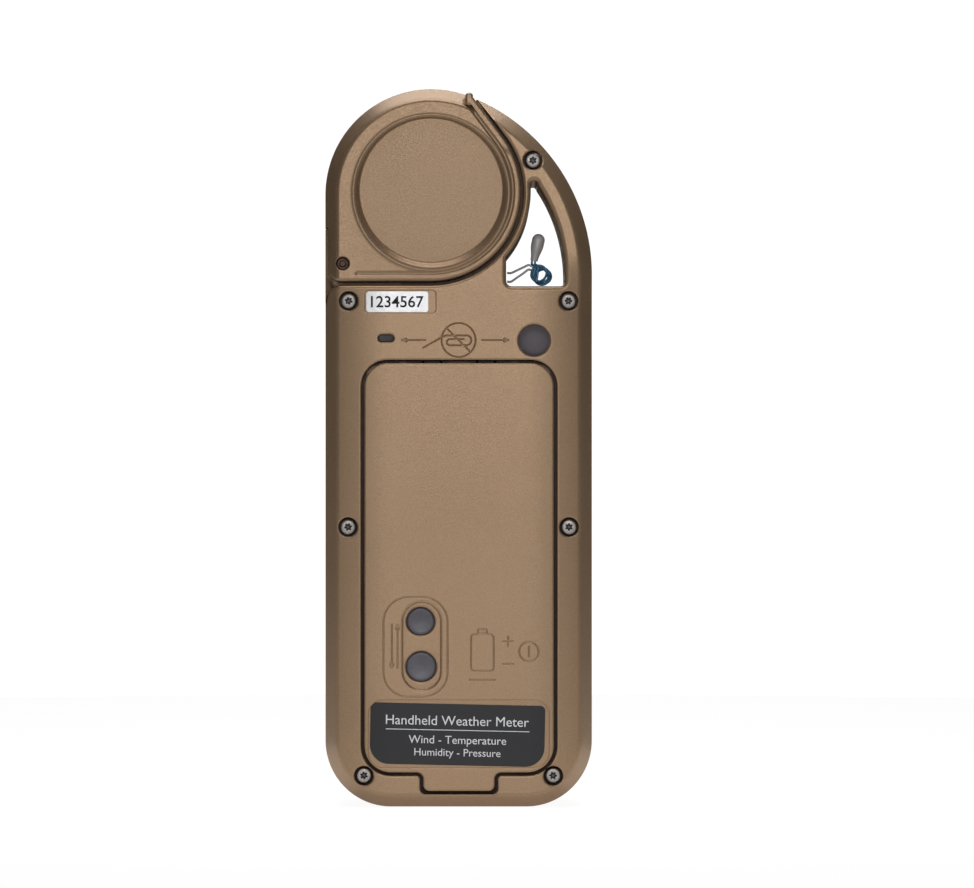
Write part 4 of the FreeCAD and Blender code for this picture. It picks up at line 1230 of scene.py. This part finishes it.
def impeller():
    sleeve = [(12.1, -9.4), (12.3, -9.6), (12.75, -9.6), (12.95, -9.4), (12.95, 9.4), (12.75, 9.6),
              (12.3, 9.6), (12.1, 9.4)]
    whole = lathe(sleeve, FAN, 128)
    hub = ring(FAN, 2.4, 0.3)
    bush = ring(FAN, 1.2, 0.25)
    tops = [([hub], lambda points: 8.0 - edge_lip(points, hub, 0.3))]
    hints = lip_rings(hub, 0.3)
    for turn in np.radians([90, 210, 330]):
        out = np.array([cos(turn), sin(turn)])
        spoke = ribbon(np.array([FAN + out * 1.8, FAN + out * 12.3]), 1.2)
        hints += lip_rings(spoke, 0.25)
        tops.insert(0, ([spoke], lambda points, spoke=spoke: 7.9 - edge_lip(points, spoke, 0.25)))
    carrier = relief(tops + [([bush], None)], [([EVERYWHERE], 6.4)], hints)
    whole = whole + carrier + carrier.moved(matrix=np.diag([1, -1, 1]))
    build("impeller_housing_ring", whole, "housing_plastic", ["impeller_housing"])

    hub_profile = [(0.5, -4.5), (2.1, -4.5), (2.4, -4.2), (2.4, 4.2), (2.1, 4.5), (0.5, 4.5)]
    rotor = lathe(hub_profile, FAN, 48)
    for number in range(8):
        rotor += blade(2 * pi * number / 8)
    build("impeller_rotor_blades", rotor, "impeller_plastic", ["impeller_rotor"], body="impeller", sharp=50)


def blade(turn, count=14):
    """One twisted blade: its chord leans from 35 degrees at the hub to 58 at the tip."""
    points, faces = [], []
    angles = np.arange(16) * 2 * pi / 16
    for row, radius in enumerate(np.linspace(1.7, 11.65, count)):
        share = (radius - 1.6) / 10.1
        lean = radians(35 + 23 * share)
        chord, thick = 7.6 - 1.2 * share, 0.75 - 0.25 * share
        if row == count - 1:
            chord, thick = chord * 0.92, thick * 0.5
        for angle in angles:
            along, across = chord / 2 * cos(angle), thick / 2 * sin(angle)
            x = across * cos(lean) - along * sin(lean)
            y = across * sin(lean) + along * cos(lean)
            z = radius
            points.append((FAN[0] + x * cos(turn) + z * sin(turn), y,
                           FAN[1] - x * sin(turn) + z * cos(turn)))
    size = len(angles)
    for row in range(count - 1):
        for k in range(size):
            a, b = row * size + k, row * size + (k + 1) % size
            faces.append([a, b, b + size, a + size])
    faces += [list(range(size))[::-1], [(count - 1) * size + k for k in range(size)]]
    return Solid(points, faces)


# Battery behind the door


def battery():
    """An AA cell in a printed sleeve, on a conical spring."""
    cell_low, cell_high = low("battery_cell"), high("battery_cell")
    x, y = (cell_low[:2] + cell_high[:2]) / 2
    foot, head, radius = cell_low[2], cell_high[2], (cell_high[0] - cell_low[0]) / 2
    upright = [(1, 0, 0), (0, 0, -1), (0, 1, 0)]
    band = foot + 15.0
    can = [(0.001, foot), (4.5, foot), (4.7, foot + 0.3), (6.6, foot + 0.3), (radius - 0.25, foot + 0.1),
           (radius - 0.05, foot + 0.5), (radius - 0.05, band), (0.001, band)]
    sleeve = [(0.001, band), (radius - 0.05, band), (radius, band + 0.1), (radius, head - 1.4),
              (radius - 0.35, head - 1.05), (3.1, head - 1.1), (2.75, head - 1.0), (2.75, head - 0.25),
              (2.5, head), (0.001, head)]
    for name, profile, look, slot, stands in (
            ("battery_cell_band", can, "cell_band", "magnet", []),
            ("battery_cell_sleeve", sleeve, "cell_sleeve", "cell_sleeve", ["battery_cell"])):
        turned = lathe(profile, (0, 0), 64).moved(matrix=upright).moved((x, y, 0))
        build(name, turned, look, stands, slot=slot)
    plate_low, plate_high = low("battery_negative_spring"), high("battery_negative_spring")
    plate_top = plate_low[2] + 0.5
    turns, wire = 5, 0.35
    shares = np.linspace(0, 1, 220)
    angles = shares * turns * 2 * pi
    reach = 4.2 - 1.9 * shares
    rise = plate_top + wire + (plate_high[2] - plate_top - 2 * wire) * shares
    route = np.stack([x + reach * np.cos(angles), y + reach * np.sin(angles), rise], 1)
    flat = box_line(x - 5, -y - 5, x + 5, -y + 5, 0.8)
    plate = relief([([flat], plate_top)], [([flat], plate_low[2])])
    plate = plate.moved(matrix=upright)
    build("battery_spring_coil", tube(route, wire, 10) + plate, "spring_steel", ["battery_negative_spring"])
    lenses = [disc(place, 1.5, 8.2, 11.4, 1.2, 0, 32) for place in DIODES]
    build("infrared_diode_pair", lenses[0] + lenses[1], "diode_lens", ["infrared_diodes"])


# Front: bezel, display and keys


def front():
    outline = node_outline("front_bezel", 0.0, 6.0)
    pane = node_outline("display_window", 0.1, 1.9)
    keys = [key_outline(key, KEY_PLAY) for key in KEYS]

    def face(points):
        drop = edge_lip(points, outline, 0.35) + edge_lip(points, pane, 0.15)
        return BEZEL_LEVEL - drop - sum(edge_lip(points, key, 0.2) for key in keys)
    hints = lip_rings(outline, 0.35) + lip_rings(pane, 0.15, -1)
    for key in keys:
        hints += lip_rings(key, 0.2, -1)
    solid = relief([([outline], face), ([pane], None)] + [([key], None) for key in keys],
                   [([outline], BEZEL_BACK)], hints, flip=-1)
    build("front_bezel_plate", solid, "bezel_plastic", ["front_bezel"])

    solid = slab(node_outline("display_window", 0.0, 1.8), -low("display_window")[1], BEZEL_BACK, 0.2, -1)
    build("display_glass_pane", solid, "display_glass", ["display_window"])
    mask = box_line(-13.9, 50.1, 13.9, 81.9, 1.4)
    view = box_line(-12.6, 52.2, 12.6, 80.4, 0.8)
    solid = relief([([mask], 12.76), ([view], None)], [([mask], 12.6)], flip=-1)
    build("display_mask", solid, "black_ink", slot="bezel_plastic")
    lcd()
    for key in KEYS:
        key_cap(key)


# Bars of a seven-segment numeral: both ends, in widths and half heights
BARS = {"a": (0, 2, 1, 2), "b": (1, 1, 1, 2), "c": (1, 0, 1, 1), "d": (0, 0, 1, 0), "e": (0, 0, 0, 1),
        "f": (0, 1, 0, 2), "g": (0, 1, 1, 1)}
LIT = {"1": "bc", "2": "abged", "4": "fgbc", "5": "afgcd", "7": "abc", "8": "abcdefg"}


def digit(character, left, foot, width, height, thick):
    """Outlines of a seven-segment numeral."""
    outlines = []
    for name in LIT[character]:
        ends = np.array(BARS[name], float).reshape(2, 2) * (width, height / 2) + (left, foot)
        along = (ends[1] - ends[0]) / np.hypot(*(ends[1] - ends[0])) * thick
        side = np.array([-along[1], along[0]]) / 2
        start, end = ends[0] + along * 0.16, ends[1] - along * 0.16
        outlines.append(np.array([start, start + along / 2 - side, end - along / 2 - side, end,
                                  end - along / 2 + side, start + along / 2 + side]))
    return outlines


# Each number: its numerals, left, step, foot, width, height and thickness
NUMBERS = (("12", -9.6, 6.8, 63.0, 4.3, 9.2, 1.1), ("5", 4.9, 0, 63.0, 4.3, 9.2, 1.1),
           ("72", -9.4, 3.6, 55.0, 2.2, 4.4, 0.6), ("48", 4.2, 3.6, 55.0, 2.2, 4.4, 0.6))


def lcd():
    """The display with generic readings: a large number, two small ones and a bar scale."""
    body_low, body_high = low("lcd_module"), high("lcd_module")
    level = -body_low[1]
    outline = box_line(body_low[0], body_low[2], body_high[0], body_high[2], 0.4)
    build("lcd_panel", slab(outline, level, -body_high[1], 0.15, -1), "lcd", ["lcd_module"])
    marks = [box_line(3.0, 62.5, 3.9, 63.4, 0.2)]
    for text, left, step, foot, width, height, thick in NUMBERS:
        for number, character in enumerate(text):
            marks += digit(character, left + step * number, foot, width, height, thick)
    for number in range(9):
        left, tall = -9.8 + 2.3 * number, 1.0 + 0.28 * number
        marks.append(box_line(left, 75.4, left + 1.2, 75.4 + tall, 0.1))
    solid = relief([([mark], level + 0.03) for mark in marks], [([EVERYWHERE], level)], flip=-1)
    build("lcd_segments", solid, "lcd_segment", slot="lcd")


def key_icon(key, centre):
    """Outlines of the mark on a key."""
    x, z = centre
    triangle = np.array([(1.1, 0), (-0.7, 0.95), (-0.7, -0.95)])
    turns = {"right_key": 0, "up_key": 90, "left_key": 180, "down_key": 270}
    if key in turns:
        turn = radians(turns[key])
        spin = np.array([(cos(turn), sin(turn)), (-sin(turn), cos(turn))])
        return [triangle @ spin + (x, z)]
    if key == "power_key":
        sweep = np.radians(np.linspace(125, 415, 28))
        bow = np.stack([x + 1.0 * np.cos(sweep), z + 1.0 * np.sin(sweep)], 1)
        return [ribbon(bow, 0.26), ribbon(np.array([(x, z + 0.15), (x, z + 1.35)]), 0.26)]
    if key == "exit_key":
        return [ribbon(np.array([(x - 0.8, z - side * 0.8), (x + 0.8, z + side * 0.8)]), 0.3)
                for side in (-1, 1)]
    if key == "capture_key":
        return [box_line(x - 1.1, z - 0.8, x + 1.1, z + 0.8, 0.35)]
    return [ring(centre, 1.0, 0.2)]


def key_cap(key):
    outline = key_outline(key, 0.0)
    middle = ((low(key) + high(key)) / 2)[[0, 2]]
    top, back = -low(key)[1], KEY_SHORT - high(key)[1]
    reach = distance(middle[None, :], outline)[0]

    def face(points):
        away = distance(points, outline)
        return top - 0.02 - lip(away, 0.45) - 0.12 * (1 - np.clip(away / reach, 0, 1)) ** 2
    hints = lip_rings(outline, 0.45) + [offset(outline, reach * share) for share in (0.45, 0.65, 0.85)]
    solid = relief([([outline], face)], [([outline], back)], hints, flip=-1)
    body = key + "_body"
    build(key + "_cap", solid, "key_rubber", [key], body=body)
    icon = key_icon(key, middle)
    mark = relief([([shape], lambda points: face(points) + 0.012) for shape in icon],
                  [([EVERYWHERE], top - 0.4)], hints, flip=-1)
    build(key + "_mark", mark, "white_ink", body=body, slot="white_label")


# Camera, light and floor


def aim(item, place, target):
    item.location = Vector(place) * MM
    item.rotation_euler = (Vector(target) - Vector(place)).to_track_quat("-Z", "Y").to_euler()


def camera():
    """A long lens behind the object, level with the middle of its length."""
    data = bpy.data.cameras.new("camera")
    data.lens, data.sensor_width = 200.0, 36.0
    view_width = 171.7
    away = view_width * data.lens / data.sensor_width
    middle = Vector((-5.02, FACE + away, 64.16))
    item = placed("camera", data)
    aim(item, middle, middle - Vector((0, away, 0)))
    data.clip_start, data.clip_end = 0.01, 20.0
    bpy.context.scene.camera = item


WHITE = (1, 1, 1, 1)
# Place, size and watts of each soft light
LIGHTS = {
    "rim_light": ((0, -300, 500), (460, 160), 0.85),
    "over_light": ((0, 60, 560), (420, 360), 1.6),
    "back_light": ((0, 900, 230), (280, 240), 1.5),
    "front_light": ((0, -900, 260), (300, 260), 1.2),
}


def lights():
    for name, (place, size, power) in LIGHTS.items():
        data = bpy.data.lights.new(name, "AREA")
        data.shape = "RECTANGLE"
        data.size, data.size_y = size[0] * MM, size[1] * MM
        data.energy = power
        aim(placed(name, data), place, (0, 0, 60))


def seen_shader(tree, share, plain, glow, end):
    """Mix a glow into a plain shader for what the camera sees itself, and wire it to the end."""
    straight = add(tree, "LightPath").outputs["Is Camera Ray"]
    part = add(tree, "Math", {0: straight, 1: share}, operation="MULTIPLY").outputs["Value"]
    mix = add(tree, "MixShader", {"Fac": part, 1: plain.outputs[0], 2: glow.outputs[0]})
    feed(tree, tree.nodes[end], {"Surface": mix.outputs["Shader"]})


def surroundings():
    """A white world, and a pale round floor that glows a little near the object."""
    world = bpy.data.worlds.new("studio")
    world.use_nodes = True
    tree = world.node_tree
    ambient = feed(tree, tree.nodes["Background"], {"Color": WHITE, "Strength": 0.02})
    seen_shader(tree, 1.0, ambient, add(tree, "Background", {"Color": WHITE, "Strength": 1.05}),
                "World Output")
    bpy.context.scene.world = world
    bpy.context.scene.view_settings.view_transform = "Standard"

    material, tree, surface = shader("pale_floor", (0.86, 0.86, 0.86), 0.9, 0, 0.1)
    reach = add(tree, "VectorMath", {0: add(tree, "TexCoord").outputs["Object"]}, operation="LENGTH")
    feed(tree, surface, {
        "Base Color": ramp(tree, noise(tree, 3.0), [(0.3, (0.85, 0.85, 0.85)), (0.7, (0.87, 0.87, 0.87))]),
        "Emission Color": WHITE,
        "Emission Strength": spread(tree, reach.outputs["Value"], 0.30, 0.0, 0.05, 0.16)})
    seen_shader(tree, 0.8, surface, add(tree, "Emission", {"Strength": 1.1}), "Material Output")
    outline = ring((0, 0), 420.0, 20.0)
    mesh = bpy.data.meshes.new("floor")
    mesh.from_pydata([(x * MM, z * MM, -0.02 * MM) for x, z in outline], [], [range(len(outline))])
    mesh.materials.append(material)
    placed("floor", mesh)


camera()
lights()
surroundings()
rear_case()
front_case()
flip_cover()
battery_door()
case_screws()
cover_pivot_pin()
sensor_plugs()
labels()
thermistor()
impeller()
battery()
front()
